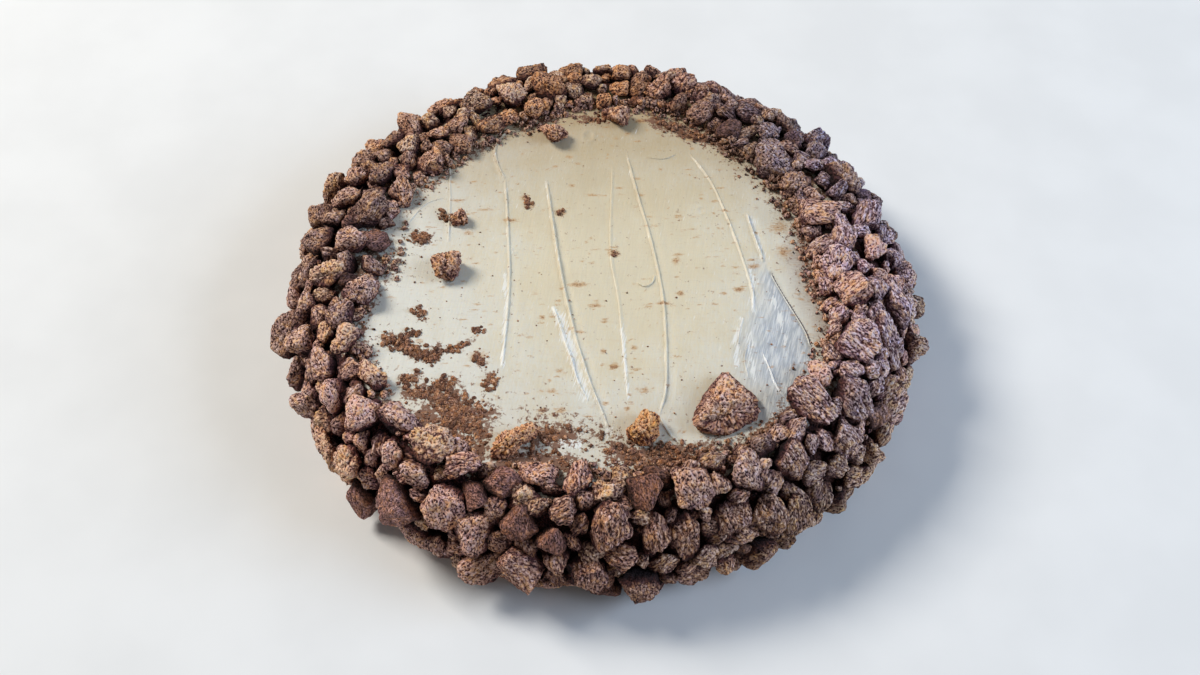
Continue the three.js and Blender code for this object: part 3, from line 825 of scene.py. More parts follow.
# %% Thin lips of cream
# Section of a lip: how far across, in widths, and how high, in heights
LIP_SECTION = np.array([
    (-0.75, -0.15), (-0.42, 0.35), (-0.20, 0.88), (0.02, 1.0),
    (0.28, 0.80), (0.62, 0.42), (1.05, 0.14), (1.5, -0.15),
])
CRACK_LIP = (0.5, 0.65, 1, CRACK)


def lip_strip(height, width, side, line):
    """Points and faces of one lip, from its height, its width, its steep side and its line."""
    path = curve_through(np.array(line, float), step=0.45)
    along = np.gradient(path, axis=0)
    along /= np.linalg.norm(along, axis=1)[:, None]
    across = side * np.column_stack([-along[:, 1], along[:, 0]])
    shaky = 1 + 0.25 * swell(flat_points(path), 2.3, 33)
    section_across, section_rise = LIP_SECTION.T
    count = len(LIP_SECTION)
    places = path[:, None] + across[:, None] * (section_across * width)[None, :, None] * shaky[:, None, None]
    strength = (lip_strength(path) * (1 + 0.2 * swell(flat_points(path), 1.7, 35)))[:, None]
    rise = np.where(section_rise > 0, section_rise * strength, section_rise) * height
    places = places.reshape(-1, 2)
    rise = rise.ravel() + cream_height(places) - 0.30 * height * np.repeat(strength.ravel(), count)
    row, column = np.meshgrid(np.arange(len(path) - 1), np.arange(count - 1), indexing="ij")
    first = (row * count + column).ravel()
    turned = [first, first + 1, first + 1 + count, first + count]
    faces = np.column_stack(turned[::-1] if side > 0 else turned)
    return np.column_stack([places, CAKE_HEIGHT + rise]), faces


strips = [lip_strip(*lip) for lip in [*KNIFE_LIPS, CRACK_LIP]]
offsets = np.cumsum([0] + [len(points) for points, _ in strips])
lip_points = np.vstack([points for points, _ in strips])
lip_faces = np.vstack([faces + offset for (_, faces), offset in zip(strips, offsets)])
lip_paint = cream_paint(lip_points[:, :2])
lip_heights = [height for height, _, _, _ in KNIFE_LIPS] + [0]
# Painted highlights on the lips, stronger on the higher ones.
lip_painted_highlight = np.repeat([0.32 * height for height in lip_heights], np.diff(offsets))
lip_paint["white"] = np.maximum(lip_paint["white"], lip_painted_highlight)
section_place = np.tile(LIP_SECTION[:, 0], len(lip_points) // len(LIP_SECTION))
is_crack = np.arange(len(lip_points)) >= offsets[-2]
# Painted shade on the steep side of the crack's lip.
lip_paint["crack_shade"] = np.where(is_crack & (section_place > 0.1), 0.9, 0)
make_piece("cream_lips", lip_points, lip_faces, lip_paint, CREAM)

# %% [markdown]
# A broken piece starts as a ball of points that are spread evenly by cutting each face of an icosahedron
# into smaller triangles. Planes at random distances then shave it, which gives the flat breaks and blunt
# corners of a snapped biscuit. Half of each piece is buried, so its points are drawn towards the side that
# shows.

# %% A ball of triangles, and the shape of a broken piece
def ball(cuts):
    """Points on the unit ball and its triangles: each edge of an icosahedron is cut into so many parts."""
    golden = (1 + 5**0.5) / 2
    ends = [(0, a, b * golden) for a in (-1, 1) for b in (-1, 1)]
    corners = np.array([e[k:] + e[:k] for k in range(3) for e in ends], float)
    near = np.linalg.norm(corners[:, None] - corners[None], axis=2) < 2.1
    points, faces, seen = [], [], {}
    for a, b, c in itertools.combinations(range(12), 3):
        if not (near[a, b] and near[b, c] and near[a, c]):
            continue
        if np.linalg.det(corners[[a, b, c]]) < 0:
            b, c = c, b
        place = {}
        for i in range(cuts + 1):
            for j in range(cuts + 1 - i):
                spot = (corners[a] * (cuts - i - j) + corners[b] * i + corners[c] * j) / cuts
                key = tuple(np.round(spot, 6) + 0.0)
                if key not in seen:
                    seen[key] = len(points)
                    points.append(spot / np.linalg.norm(spot))
                place[i, j] = seen[key]
        for i in range(cuts):
            for j in range(cuts - i):
                faces.append((place[i, j], place[i + 1, j], place[i, j + 1]))
                if j < cuts - i - 1:
                    faces.append((place[i + 1, j], place[i + 1, j + 1], place[i, j + 1]))
    return np.array(points), np.array(faces)


def outward_ball(cuts, crowding=0.42):
    """A ball whose points crowd towards +Z, the side of a piece that shows."""
    points, faces = ball(cuts)
    tilt = np.arccos(np.clip(points[:, 2], -1, 1))
    drawn = tilt * (1 - crowding + crowding * tilt / math.pi)
    flat = np.hypot(points[:, 0], points[:, 1])
    scale = np.divide(np.sin(drawn), flat, out=np.zeros_like(flat), where=flat > 1e-9)
    return np.column_stack([points[:, 0] * scale, points[:, 1] * scale, np.cos(drawn)]), faces


FEWEST_CUTS, MOST_CUTS = 3, 12
BALLS = {cuts: outward_ball(cuts) for cuts in range(FEWEST_CUTS, MOST_CUTS + 1)}
FARTHEST_REACH = 1.28
PLANE_WAYS = ball(1)[0]


def shaved(ways, draw, sharpness, planes=None):
    """How far a ball shaved by planes, random ones unless they are given, reaches along each way."""
    if planes is not None:
        press = np.maximum(ways @ planes[:, :3].T, 0) / planes[:, 3]
        return ((press**sharpness).sum(1) + 1.2**-sharpness) ** (-1 / sharpness)
    way = Vector((draw(-1, 1), draw(-1, 1), draw(-1, 1))).normalized()
    planes = PLANE_WAYS @ np.array(way.to_track_quat("Z", "Y").to_matrix())
    planes = planes + np.array([[draw(-0.35, 0.35) for _ in range(3)] for _ in planes])
    planes /= np.linalg.norm(planes, axis=1)[:, None]
    depth = np.array([draw(0.5, 1.0) for _ in planes])
    press = np.maximum(ways @ planes.T, 0) / depth
    reach = (press**sharpness).sum(1) ** (-1 / sharpness)
    return np.minimum(0.97 * reach / reach.mean(), FARTHEST_REACH)


print("a ball of", len(BALLS[8][1]), "triangles")

# %% [markdown]
# The bank's pieces are placed by one rule. The largest are named by angle and by how far down the skin they
# lie. The rest are dropped at random, from coarse to fine, and kept where they find room. The solid
# model keeps the first ones, and here finer pieces go on to fill what is left. Round the cake the
# biscuit changes: rounded clods on the left, split and layered shards to the right.

# %% Where the broken pieces lie
# Each: angle in degrees, share of the way from toe to foot, half width, half height, kind and tint
LANDMARKS = [
    (320, 0.15, 7.6, 9, "shard", 0.8), (308, 0.3, 6.6, 7.1, "shard", 0.7),
    (299, 0.24, 6.2, 7.4, "clod", 0.5), (288, 0.22, 7.3, 8.2, "clod", 0.7),
    (279, 0.16, 6.4, 7.3, "crust", 0.5), (266, 0.06, 4.8, 7.4, "shard", 0.8),
    (272, 0.34, 6.4, 10.5, "shard", 0.6), (280, 0.42, 5.3, 7.8, "shard", 0.5),
    (285, 0.47, 5.3, 8.7, "shard", 0.4), (294, 0.45, 6.2, 6.5, "shard", 0.4),
    (300, 0.51, 6.6, 8, "shard", 0.35), (306, 0.62, 5.9, 9, "shard", 0.35),
    (268, 0.66, 7.1, 8.8, "shard", 0.5), (320, 0.43, 6.4, 8.2, "shard", 0.6),
    (219, 0.27, 7.8, 7.3, "clod", 1.0), (229, 0.32, 4.4, 6.1, "clod", 0.7),
    (242, 0.41, 7.6, 7.9, "clod", 0.6), (251, 0.17, 6.3, 5.1, "crust", 0.6),
    (258, 0.03, 6.4, 6, "clod", 0.6), (256, 0.38, 5.9, 6.6, "crust", 0.3),
    (262, 0.45, 5.1, 6, "crust", 0.5), (248, 0.51, 6.7, 7.6, "clod", 0.5),
    (242, 0.75, 5, 6.6, "shard", 0.3), (204, 0.36, 6.5, 6.1, "clod", 0.5),
]
LANDMARK_THICKNESS = 0.72
# Grades of pieces, each: half length and how many are tried
PIECE_GRADES = [(8.9, 70), (7.9, 160), (6.9, 420), (6.1, 1500)]
MOST_PIECES = 225
FINER_GRADES = [(5.6, 2600), (4.6, 3600), (3.7, 5200)]
PIECE_SPACING = 0.95
FINER_SPACING = 0.76
MOST_IN_ALL = 5000
# How far a piece stands out of the skin, in its own thickness, and how much more at the right and back
PIECE_STAND = (0.35, 0)
FINER_STAND = (0.10, 0.42)
FINE_SIDE = math.radians(40)
LEAN = 0.45
# Single pieces on the cream, which the bank keeps clear of, each: name, place, half sizes and turn in degrees
LOOSE_PIECES = [
    ("biscuit_wedge", 45, -65, (12, 11.5, 5), 95),
    ("biscuit_long_left", -29.5, -80, (8, 4.6, 4.2), 35),
    ("biscuit_long_front", 15.5, -75, (8, 5, 4.4), 28),
    ("biscuit_lump_left", -59, -2, (6.6, 5.6, 4.4), 60),
    ("biscuit_lump_back", -19.5, 69.5, (5.4, 4.8, 4.2), 20),
    ("biscuit_lump_far", 8, 79.5, (5.6, 4.6, 4), -30),
    ("biscuit_bit_left", -54.5, 23, (3.6, 2.8, 2.6), 10),
]
LOOSE_GAP = 1.2


def fine_share(angle):
    """From 1 at the right and back, where the biscuit is finest, to -1 at the left and front."""
    return math.cos(angle - FINE_SIDE)


def piece_on_skin(angle, share, half, turn, lean, stand):
    """A piece that lies on the skin: where it is, how it is turned and which way it lies open."""
    point, normal = bank_skin(angle, share)
    outward = normal + lean
    outward /= np.linalg.norm(outward)
    side = np.array([-math.sin(angle), math.cos(angle), 0])
    side = side - outward * (side @ outward)
    side /= np.linalg.norm(side)
    across = side * math.cos(turn) + np.cross(outward, side) * math.sin(turn)
    axes = np.column_stack([across, np.cross(outward, across), outward])
    middle = point + normal * (stand[0] + stand[1] * fine_share(angle)) * half[2]
    middle[2] = max(middle[2], math.hypot(*(axes[2] * half)))
    # The way that is painted lightest, outward and up; the painted shade grows away from it.
    open_way = normal + [0, 0, 0.4]
    return {
        "middle": middle,
        "axes": axes,
        "half": np.array(half),
        "size": (half[0] + half[1]) / 2,
        "angle": angle,
        "share": share,
        "seat": point,
        "way_out": normal,
        "open_way": open_way / np.linalg.norm(open_way),
    }


def near_loose_piece(middle, distance):
    """Whether a single piece on the cream lies within a distance."""
    return any(
        math.hypot(middle[0] - x, middle[1] - y) < half[0] + distance for _, x, y, half, _ in LOOSE_PIECES
    )


def drop_pieces(pieces, grades, most, spacing, stand, draw):
    """Drops pieces of each grade on the skin and keeps those that find room."""
    for grade, tries in grades:
        for _ in range(tries):
            if len(pieces) >= most:
                return
            angle = draw(0, 2 * math.pi)
            share = draw(0.01, 0.98)
            long = grade * (0.8 + 0.2 * (1 - math.sin(angle)) / 2) * draw(0.9, 1.15)
            half = (long, long * draw(0.68, 0.95), long * draw(0.55, 0.8))
            turn = draw(0, math.pi)
            lean = np.array([draw(-LEAN, LEAN), draw(-LEAN, LEAN), draw(-LEAN, LEAN)])
            piece = piece_on_skin(angle, share, half, turn, lean, stand)
            middles = np.array([other["middle"] for other in pieces])
            room = spacing * (np.array([other["size"] for other in pieces]) + piece["size"])
            clear = np.all(np.linalg.norm(middles - piece["middle"], axis=1) > room)
            if clear and not near_loose_piece(piece["middle"], long + LOOSE_GAP):
                pieces.append(piece)


pieces = []
for degrees, share, wide, high, kind, tint in LANDMARKS:
    half = (wide, high, LANDMARK_THICKNESS * min(wide, high))
    piece = piece_on_skin(math.radians(degrees), share, half, 0, np.zeros(3), PIECE_STAND)
    pieces.append(piece | {"kind": kind, "tint": tint})
drop_pieces(pieces, PIECE_GRADES, MOST_PIECES, PIECE_SPACING, PIECE_STAND, random_from(SEED))
solid_count = len(pieces)
drop_pieces(pieces, FINER_GRADES, MOST_IN_ALL, FINER_SPACING, FINER_STAND, random_from(SEED + 7))
print(solid_count, "pieces as in the solid model, and", len(pieces) - solid_count, "finer ones")

# %% [markdown]
# Each kind of biscuit has its own surface. A clod is made of packed grains in lumps between flat breaks. A
# clump is rounder and coarser, like grains that only just stick together. A shard is flat-sided, and its
# grains are drawn out in one direction, as baked layers are. A crust is the smooth outer face of a biscuit.
# The large wedge on the cream has a kind of its own.

# %% Sort the pieces by kind
# Each: how sharp its breaks are, width and depth of its lumps, then of its grains, how much the grains are
# drawn out, and the depth of its layers and of its dents
SURFACE_PARTS = ("sharpness", "lump", "grain", "stretch", "layer", "dent")
KINDS = {
    kind: dict(zip(SURFACE_PARTS, surface))
    for kind, surface in {
        "clod": (22, (3.6, 0.65), (1.6, 0.40), 1.0, 0.0, 0.8),
        "shard": (34, (3.4, 0.40), (1.5, 0.35), 0.5, 0.8, 0.6),
        "wedge": (9, (2.7, 1.15), (1.3, 0.90), 1.0, 0.0, 1.2),
        "clump": (9, (2.8, 0.90), (1.5, 0.70), 1.0, 0.0, 1.1),
        "crust": (16, (4.5, 0.45), (1.4, 0.22), 0.5, 0.3, 0.9),
    }.items()
}
BANK_KINDS = {"clod": BISCUIT, "clump": GRAINY, "shard": LAYERED, "crust": CRUST}
kind_draw = random_from(SEED + 3)
for piece in pieces:
    to_right = math.cos(piece["angle"] + math.radians(25))
    pick, tint = kind_draw(0, 1), kind_draw(0, 1)
    kind = "crust" if pick > 0.975 else "shard" if pick < 0.38 + 0.38 * to_right else "clod"
    if kind == "clod" and pick > 0.80:
        kind = "clump"
    piece.setdefault("kind", kind)
    piece.setdefault("tint", tint**1.4)
print({kind: sum(piece["kind"] == kind for piece in pieces) for kind in BANK_KINDS})

# %% [markdown]
# The biscuit's brown drifts round the cake, from pinkish tan on the left, through deep brown in front, to a
# purplish grey on the right and warm brown at the back. These browns are partly the biscuit's own and partly
# painted light, above all the purplish grey on the right, which stands in for the cool light there, and the
# lighter front left. Each piece takes the brown of its place, lighter or darker by its own tint. The clumps
# are golden, and so is one in twelve of the others.

# %% A shade of brown for each piece
GOLDEN_SHARE = 1 / 12
# Each: angle in degrees, and the factors of red, green and blue there
# Partly painted light: the purplish grey near 0 and 330 degrees stands in for the cool light on the right.
BROWNS_AND_PAINTED_LIGHT = np.array([
    (0, 1.78, 1.92, 2.85), (20, 1.08, 1.18, 1.86), (45, 0.66, 0.74, 1.18), (90, 1.26, 0.92, 0.64),
    (180, 1.12, 0.99, 1.03), (225, 2.00, 1.76, 1.86), (255, 1.46, 1.18, 1.14), (280, 1.12, 0.89, 0.82),
    (310, 1.20, 1.12, 1.22), (330, 1.66, 1.68, 2.10), (360, 1.78, 1.92, 2.85),
])


def brown_and_painted_light_at(angle, share=1.0):
    """The brown at an angle and a share of the way from toe to foot.

    Near the toe it is warmer at the right and back, and towards the foot on the right it is less purple. The
    browns are partly painted light, above all the purplish grey on the right.
    """
    degrees = math.degrees(angle) % 360
    brown = np.array([np.interp(degrees, BROWNS_AND_PAINTED_LIGHT[:, 0], BROWNS_AND_PAINTED_LIGHT[:, i]) for i in (1, 2, 3)])
    warmer = max(0, 1 - share / 0.45) * max(0, fine_share(angle))
    plainer = min(1, max(0, (share - 0.35) / 0.35)) * max(0, math.cos(angle))
    return brown * (1 - warmer * np.array([-0.06, 0.08, 0.30])) * (1 - plainer * np.array([0.05, 0.12, 0.42]))


hue_draw = random_from(SEED + 5)
for number, piece in enumerate(pieces):
    golden = hue_draw(0, 1) < GOLDEN_SHARE or piece["kind"] == "clump"
    brown = brown_and_painted_light_at(piece["angle"], piece["share"])
    if golden and number >= len(LANDMARKS):
        brown = brown[0] * np.array([1.12, 1.0, 0.88 + 0.20 * max(0, math.cos(piece["angle"]))])
    piece["hue"] = brown * (0.72 + 0.56 * piece["tint"])
print("brown in front:", brown_and_painted_light_at(math.radians(270)))

# %% [markdown]
# A piece is a shaved ball at its own place. All pieces of a kind are then roughened together, with lumps,
# grains, layers and dents that push each point along its own way out. The grain rides with the piece: each
# one looks up its own part of the pattern. Its colour gets painted shade: in the creases between grains,
# on the sides and undersides of a piece, and more the farther a point is buried.

# %% Make the pieces of one kind into one mesh
CUTS_PER_MM = 1.18


def cuts_for(piece):
    """More cuts for a larger piece, so that all have triangles of about one size."""
    return int(np.clip(round(CUTS_PER_MM * piece["size"]), FEWEST_CUTS, MOST_CUTS))


def biscuit_layers(own, thickness=2.5):
    """Layers of a split biscuit: how near each point is to the middle of one, and how far that stands out."""
    place = own[:, 0] / thickness + 0.6 * swell(own, 5, 58)
    number = np.floor(place).astype(np.int64)
    ledge = cell_number(np.column_stack([number, number, number]), 59)
    return 1 - (2 * (place - number) - 1) ** 4, 0.6 * ledge


def biscuit_mesh(name, members, kind, material, draw, replaced=()):
    """Shapes every member, roughens them all together, and joins them into one piece."""
    surface = KINDS[kind]
    points, ways, own, faces, hues, sizes, painted_shade_factors = [], [], [], [], [], [], []
    total = 0
    for piece in members:
        ball_ways, ball_faces = BALLS[cuts_for(piece)]
        reach = shaved(ball_ways, draw, surface["sharpness"], piece.get("planes"))
        local = ball_ways * reach[:, None] * piece["half"]
        placed = piece["middle"] + local @ piece["axes"].T
        points.append(placed)
        height = (placed - piece["seat"]) @ piece["way_out"]
        way = (ball_ways / piece["half"]) @ piece["axes"].T
        way /= np.linalg.norm(way, axis=1)[:, None]
        ways.append(way)
        # Painted shade: the sides and undersides of a piece are darker than its top, and buried points darker
        # still.
        facing_shade = np.clip(0.54 + 0.70 * (way @ piece["open_way"]), 0.12, 1)
        least = 0.27 + 0.14 * fine_share(piece["angle"]) if "angle" in piece else 0.15
        bare = facing_shade * (least + (1 - least) * np.clip((height + 2.0) / 4.5, 0, 1))
        painted_shade_factors.append(np.maximum(bare, piece.get("bare", 0)))
        shift = np.array([draw(0, 900), draw(0, 900), draw(0, 900)])
        own.append((local if piece["half"][1] > piece["half"][0] else local[:, [1, 0, 2]]) + shift)
        faces.append(ball_faces + total)
        hues.append(np.tile(piece["hue"], (len(local), 1)))
        sizes.append(np.full(len(local), min(1.0, piece["size"] / 6)))
        total += len(local)
    points, ways, own, faces, hues = (np.vstack(part) for part in (points, ways, own, faces, hues))
    sizes, painted_shade_factors = np.concatenate(sizes), np.concatenate(painted_shade_factors)
    lump_size, lump_depth = surface["lump"]
    grain_size, grain_depth = surface["grain"]
    drawn = own * [1, surface["stretch"], 1]
    lumps = packed_grains(drawn, lump_size, 51)
    grain = packed_grains(drawn, grain_size, 54)
    layer, ledge = biscuit_layers(own)
    sunk = lump_depth * (lumps - 0.7) + grain_depth * (grain - 0.7) + surface["layer"] * (layer + ledge - 1.1)
    sunk += surface["dent"] * (swell(own, 5.5, 57) - 0.1)
    points = points + ways * (sizes * sunk)[:, None]
    points[:, 2] = np.maximum(points[:, 2], 0.05)
    # Painted shade in the creases between grains and between layers.
    crease_shade = (0.4 * lumps + 0.6 * grain) * np.where(surface["layer"] > 0, 0.35 + 0.65 * layer, 1)
    attributes = {"crease_shade": crease_shade, "hue": hues, "painted_shade_factor": painted_shade_factors, "own": own}
    make_piece(name, points, faces, attributes, material, replaced)


shape_draw = random_from(SEED + 11)
for kind, material in BANK_KINDS.items():
    for part, sign in (("back", 1), ("front", -1)):
        members = [p for p in pieces if p["kind"] == kind and sign * math.sin(p["angle"]) > 0]
        biscuit_mesh(f"biscuit_{kind}s_{part}", members, kind, material, shape_draw)

# %% [markdown]
# Under the pieces lies the heart of the bank, in place of the solid model's heart. It shows only in the deep
# gaps, where it has to look like more biscuit, so it gets lumps and grains of its own, and it is painted dark
# as painted shade in the gaps. It is a closed ring: the skin, a little sunk, and a plain wall inside the
# cake.

# %% The heart of the bank
ROUND_STEPS = 600
SKIN_ROWS = 32
HEART_SUNK = 3.4
WALL_HEIGHT = 35
# Painted shade: the heart shows only in the deep gaps and is painted dark there.
HEART_SHADE_FACTOR = 0.22

turns = np.linspace(0, 2 * math.pi, ROUND_STEPS, endpoint=False)
skin = [[bank_skin(turn, share) for share in np.linspace(0, 1, SKIN_ROWS)] for turn in turns]
heart_points = np.array([[point for point, _ in line] for line in skin])
heart_ways = np.array([[way for _, way in line] for line in skin])
skin_points = heart_points.reshape(-1, 3)
lumps = packed_grains(skin_points, 5.0, 61)
grain = packed_grains(skin_points, 1.9, 64)
relief = 1.6 * (lumps - 0.5) + 0.6 * (grain - 0.5) - HEART_SUNK
heart_points = (skin_points + heart_ways.reshape(-1, 3) * relief[:, None]).reshape(heart_points.shape)
heart_points[:, 0, 2] = np.minimum(heart_points[:, 0, 2], CAKE_HEIGHT - 0.5)
heart_points[..., 2] = np.maximum(heart_points[..., 2], 0)
wall = (TOP_RADIUS - 1) * np.column_stack([np.cos(turns), np.sin(turns), np.zeros(ROUND_STEPS)])
inside = [wall, wall + [0, 0, WALL_HEIGHT]]
toe = heart_points[:, 0] * [1, 1, 0] + [0, 0, WALL_HEIGHT]
loops = np.concatenate([heart_points, np.stack([*inside, toe], 1)], 1)
around, across = np.meshgrid(np.arange(ROUND_STEPS), np.arange(loops.shape[1]), indexing="ij")
around_next, across_next = (around + 1) % ROUND_STEPS, (across + 1) % loops.shape[1]
count = loops.shape[1]
heart_faces = np.stack([
    around * count + across, around * count + across_next,
    around_next * count + across_next, around_next * count + across,
], -1).reshape(-1, 4)
heart_crease_shade = np.zeros((ROUND_STEPS, count))
heart_crease_shade[:, :SKIN_ROWS] = (0.5 * lumps + 0.5 * grain).reshape(ROUND_STEPS, SKIN_ROWS)
heart_hue = np.repeat([brown_and_painted_light_at(turn) for turn in turns], count, axis=0)
heart_corners = loops.reshape(-1, 3)
heart_attributes = {
    "crease_shade": heart_crease_shade.ravel(),
    "hue": heart_hue,
    "painted_shade_factor": np.full(heart_crease_shade.size, HEART_SHADE_FACTOR),
    "own": heart_corners,
}
make_piece("biscuit_heart", heart_corners, heart_faces, heart_attributes, BISCUIT, replaced=["biscuit_bank"])

# %% [markdown]
# Small crumbs fill the gaps of the bank, fringe its toe and lie in drifts on the cream. They are plain little
# blocks with few sides, because at their size only their light and dark sides show.

# %% Small crumbs
FILLING_CRUMBS = 1000
FRINGE_TRIES = 2700


def crumb_mesh(name, spots, material, draw, least=0.45):
    """Small shaved balls at spots, each: middle, radius, hue and painted shade factor; below the least radius
    plainer.
    """
    balls = {cuts: ball(cuts) for cuts in (1, 2)}
    points, faces, crease_shades, hues, painted_shade_factors = [], [], [], [], []
    total = 0
    for middle, radius, hue, bare in spots:
        ways, ball_faces = balls[1 if radius < least else 2]
        reach = shaved(ways, draw, 8) * np.array([draw(0.85, 1.1) for _ in ways])
        squash = np.array([draw(0.8, 1.15), draw(0.8, 1.15), draw(0.7, 0.95)])
        points.append(np.array(middle) + ways * reach[:, None] * radius * squash)
        faces.append(ball_faces + total)
        # Painted shade: darker where a crumb is shaved in.
        crease_shades.append(np.clip(0.6 + 1.2 * (reach - 1), 0, 1))
        hues.append(np.tile(hue, (len(ways), 1)))
        painted_shade_factors.append(np.full(len(ways), bare))
        total += len(ways)
    points = np.vstack(points)
    attributes = {
        "crease_shade": np.concatenate(crease_shades),
        "hue": np.vstack(hues),
        "painted_shade_factor": np.concatenate(painted_shade_factors),
        "own": points,
    }
    make_piece(name, points, np.vstack(faces), attributes, material)


crumb_draw = random_from(SEED + 17)
filling = []
for _ in range(FILLING_CRUMBS):
    angle = FINE_SIDE + math.copysign(math.pi * abs(crumb_draw(-1, 1)) ** 1.35, crumb_draw(-1, 1))
    share = crumb_draw(0.0, 0.97)
    point, normal = bank_skin(angle, share)
    radius, rise = crumb_draw(0.9, 2.3), crumb_draw(-2.0, 1.2) + 1.3 * fine_share(angle)
    middle = point + normal * rise
    middle[2] = max(middle[2], radius)
    hue = brown_and_painted_light_at(angle, share) * crumb_draw(0.7, 1.2)
    # Painted shade: crumbs sunk deeper into the bank are darker.
    filling.append((middle, radius, hue, min(1, 0.55 + 0.15 * rise)))
crumb_mesh("biscuit_crumbs", filling, BISCUIT, crumb_draw)

fringe = []
for _ in range(FRINGE_TRIES):
    angle = crumb_draw(0, 2 * math.pi)
    fine = max(0, fine_share(angle))
    if crumb_draw(0, 1) > 0.40 + 0.60 * fine:
        continue
    near = crumb_draw(0, 1) ** (1.5 + fine)
    radius = (0.6 + 1.7 * crumb_draw(0, 1) ** 2) * (1 - 0.6 * near)
    far = inner_reach(angle) + 5.5 - 8.5 * near
    rise = radius * 0.15 + 2.6 * crumb_draw(0, 1) * (1 - near)
    middle = [far * math.cos(angle), far * math.sin(angle), CAKE_HEIGHT + rise]
    if swell(np.array([[*middle]]), 9, 71)[0] + 0.7 * fine > -0.25:
        brown = brown_and_painted_light_at(angle)[0] * np.array([1.15, 0.98, 0.92])
        fringe.append((middle, radius, brown * crumb_draw(0.6, 1.1), 0.85))
crumb_mesh("fringe_crumbs", fringe, BISCUIT, crumb_draw, least=0.7)

# %% [markdown]
# The crumbs on the cream are golden. Most lie in the drifts, more lie in patches along the bank, and some
# stray ones lie all over the front left.

# %% Crumbs on the cream
DRIFT_PLENTY = 1.9
EDGE_TRIES = 500
STRAY_TRIES = 420


def strew(strewn, place, radius, draw):
    """Adds a golden crumb that lies on the cream."""
    middle = (*place, CAKE_HEIGHT + 0.15 * radius)
    strewn.append((middle, radius, np.full(3, draw(0.6, 1.4)), draw(0.6, 1.0)))


def at_polar(angle, far):
    """The place at an angle and a distance from the axis."""
    return far * np.array([math.cos(angle), math.sin(angle)])


strewn = []
for spread, crumbs, line in DRIFTS:
    path = curve_through(np.array(line, float))
    for _ in range(int(DRIFT_PLENTY * crumbs)):
        spot = path[int(crumb_draw(0, len(path) - 1))]
        turn = crumb_draw(0, 2 * math.pi)
        place = spot + at_polar(turn, 1.1 * spread * math.sqrt(-math.log(crumb_draw(0.02, 1))))
        strew(strewn, place, 0.28 + 0.95 * crumb_draw(0, 1) ** 2.5, crumb_draw)
for _ in range(EDGE_TRIES):
    angle = crumb_draw(0, 2 * math.pi)
    place = at_polar(angle, inner_reach(angle) + 2 - 10 * crumb_draw(0, 1) ** 2)
    if swell(np.array([[*place, 0]]), 11, 71)[0] + 0.5 * crumb_draw(-1, 1) > 0.0:
        strew(strewn, place, 0.25 + 0.6 * crumb_draw(0, 1) ** 3, crumb_draw)
for _ in range(STRAY_TRIES):
    angle = crumb_draw(0, 2 * math.pi)
    place = at_polar(angle, 84 * math.sqrt(crumb_draw(0, 1)))
    if crumb_draw(-60, 60) > place[1] + 0.8 * place[0] + 40:
        strew(strewn, place, crumb_draw(0.2, 0.5), crumb_draw)
crumb_mesh("crumbs_on_cream", strewn, GOLDEN, crumb_draw)

# %% [markdown]
# A few larger pieces fell on the cream. Each keeps the place and size of its solid, and is shaped with the
# same tools as the bank's pieces, with finer triangles, because it lies in full view.

# %% Single pieces on the cream
LOOSE_RAISE = 0.75
# The least painted shade factor of a single piece on the cream.
LOOSE_SHADE_FACTOR = 0.62
# The planes that shave the wedge, each: its way out and its distance
WEDGE_PLANES = np.array([
    (0.57, 0.79, 0.30, 0.55), (0.55, -0.81, 0.34, 0.86), (-0.86, -0.18, 0.48, 0.50),
    (0.1, 0.1, 0.99, 0.80), (0.45, -0.3, 0.84, 0.84), (0, 0, -1, 0.85),
])
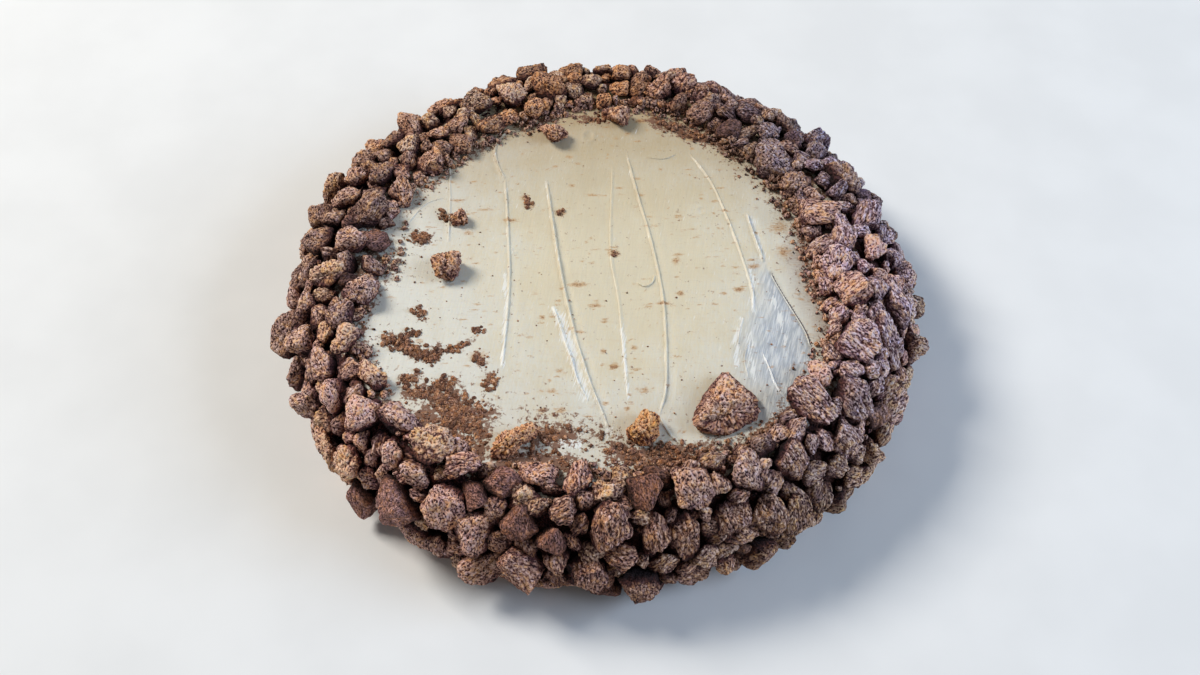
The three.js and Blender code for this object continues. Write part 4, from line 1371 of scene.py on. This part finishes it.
# Each: cuts of the ball, kind, shade of brown and planes, where they are given
LOOSE_LOOKS = {
    "biscuit_wedge": (12, "wedge", (1.60, 1.36, 1.26), WEDGE_PLANES),
    "biscuit_long_left": (12, "clump", (2.1, 1.6, 1.12), None),
    "biscuit_long_front": (12, "clump", (2.1, 1.55, 0.95), None),
    "biscuit_lump_left": (12, "clump", (1.35, 1.08, 0.92), None),
}
PLAIN_LOOK = (9, "clump", (1.45, 1.15, 0.95), None)
loose_draw = random_from(SEED + 23)
for name, x, y, half, degrees in LOOSE_PIECES:
    cuts, kind, hue, planes = LOOSE_LOOKS.get(name, PLAIN_LOOK)
    turn = math.radians(degrees)
    across = np.array([math.cos(turn), math.sin(turn), 0])
    middle = np.array([x, y, CAKE_HEIGHT + LOOSE_RAISE * half[2]])
    piece = {
        "middle": middle,
        "axes": np.column_stack([across, np.cross([0, 0, 1], across), [0, 0, 1]]),
        "half": 1.02 * np.array(half),
        "size": cuts / CUTS_PER_MM,
        "hue": np.array(hue),
        "planes": planes,
        "seat": middle - [0, 0, 3],
        "way_out": np.array([0, 0, 1.0]),
        "open_way": np.array([0, 0, 1.0]),
        "bare": LOOSE_SHADE_FACTOR,
    }
    biscuit_mesh(f"{name}_piece", [piece], kind, GRAINY, loose_draw, replaced=[name])

# %% [markdown]
# The cake stands on a plain pale floor. Two large soft lights do the work: a key from the left and behind,
# which draws the shadow side of every clod, and a cooler one from the right that fills the shadows.

# %% Floor and lights
LIGHTS_AIM = Vector((0, 0, 0.03))
FLOOR_SIZE = 6
FLOOR_DROP = 0.0005


def floor_material():
    """A matt, pale floor that is faintly mottled."""
    material, shader, wire = start_material("pale floor")
    grain = wire.noise(wire.places(1, 1, 1), 0.02)
    plug(grain.between(0.3, 0.7).blend((0.78, 0.78, 0.77), (0.82, 0.82, 0.81)), shader, "Base Color")
    shader.inputs["Roughness"].default_value = 0.8
    return material


def add_area_light(name, place, size, power, colour):
    """A square soft light that looks at the middle of the cake."""
    lamp = bpy.data.lights.new(name, "AREA")
    lamp.size = size
    lamp.energy = power
    lamp.color = colour
    light = bpy.data.objects.new(name, lamp)
    light.location = place
    light.rotation_euler = (LIGHTS_AIM - Vector(place)).to_track_quat("-Z", "Y").to_euler()
    bpy.context.scene.collection.objects.link(light)


bpy.ops.mesh.primitive_plane_add(size=FLOOR_SIZE, location=(0, 0, -FLOOR_DROP))
floor = bpy.context.object
floor.name = "floor"
floor.data.materials.append(floor_material())

add_area_light("key light", (-1.56, 0.86, 1.65), size=0.8, power=57, colour=(1.0, 0.965, 0.90))
add_area_light("fill light", (1.85, -0.25, 1.00), size=1.2, power=35, colour=(0.62, 0.77, 1.0))
world = bpy.data.worlds.new("soft room")
world.use_nodes = True
background = world.node_tree.nodes["Background"]
background.inputs["Color"].default_value = (0.95, 0.97, 1.0, 1)
background.inputs["Strength"].default_value = 0.15
bpy.context.scene.world = world
bpy.context.scene.view_settings.view_transform = "Standard"
print("floor and", len(bpy.data.lights), "lights")
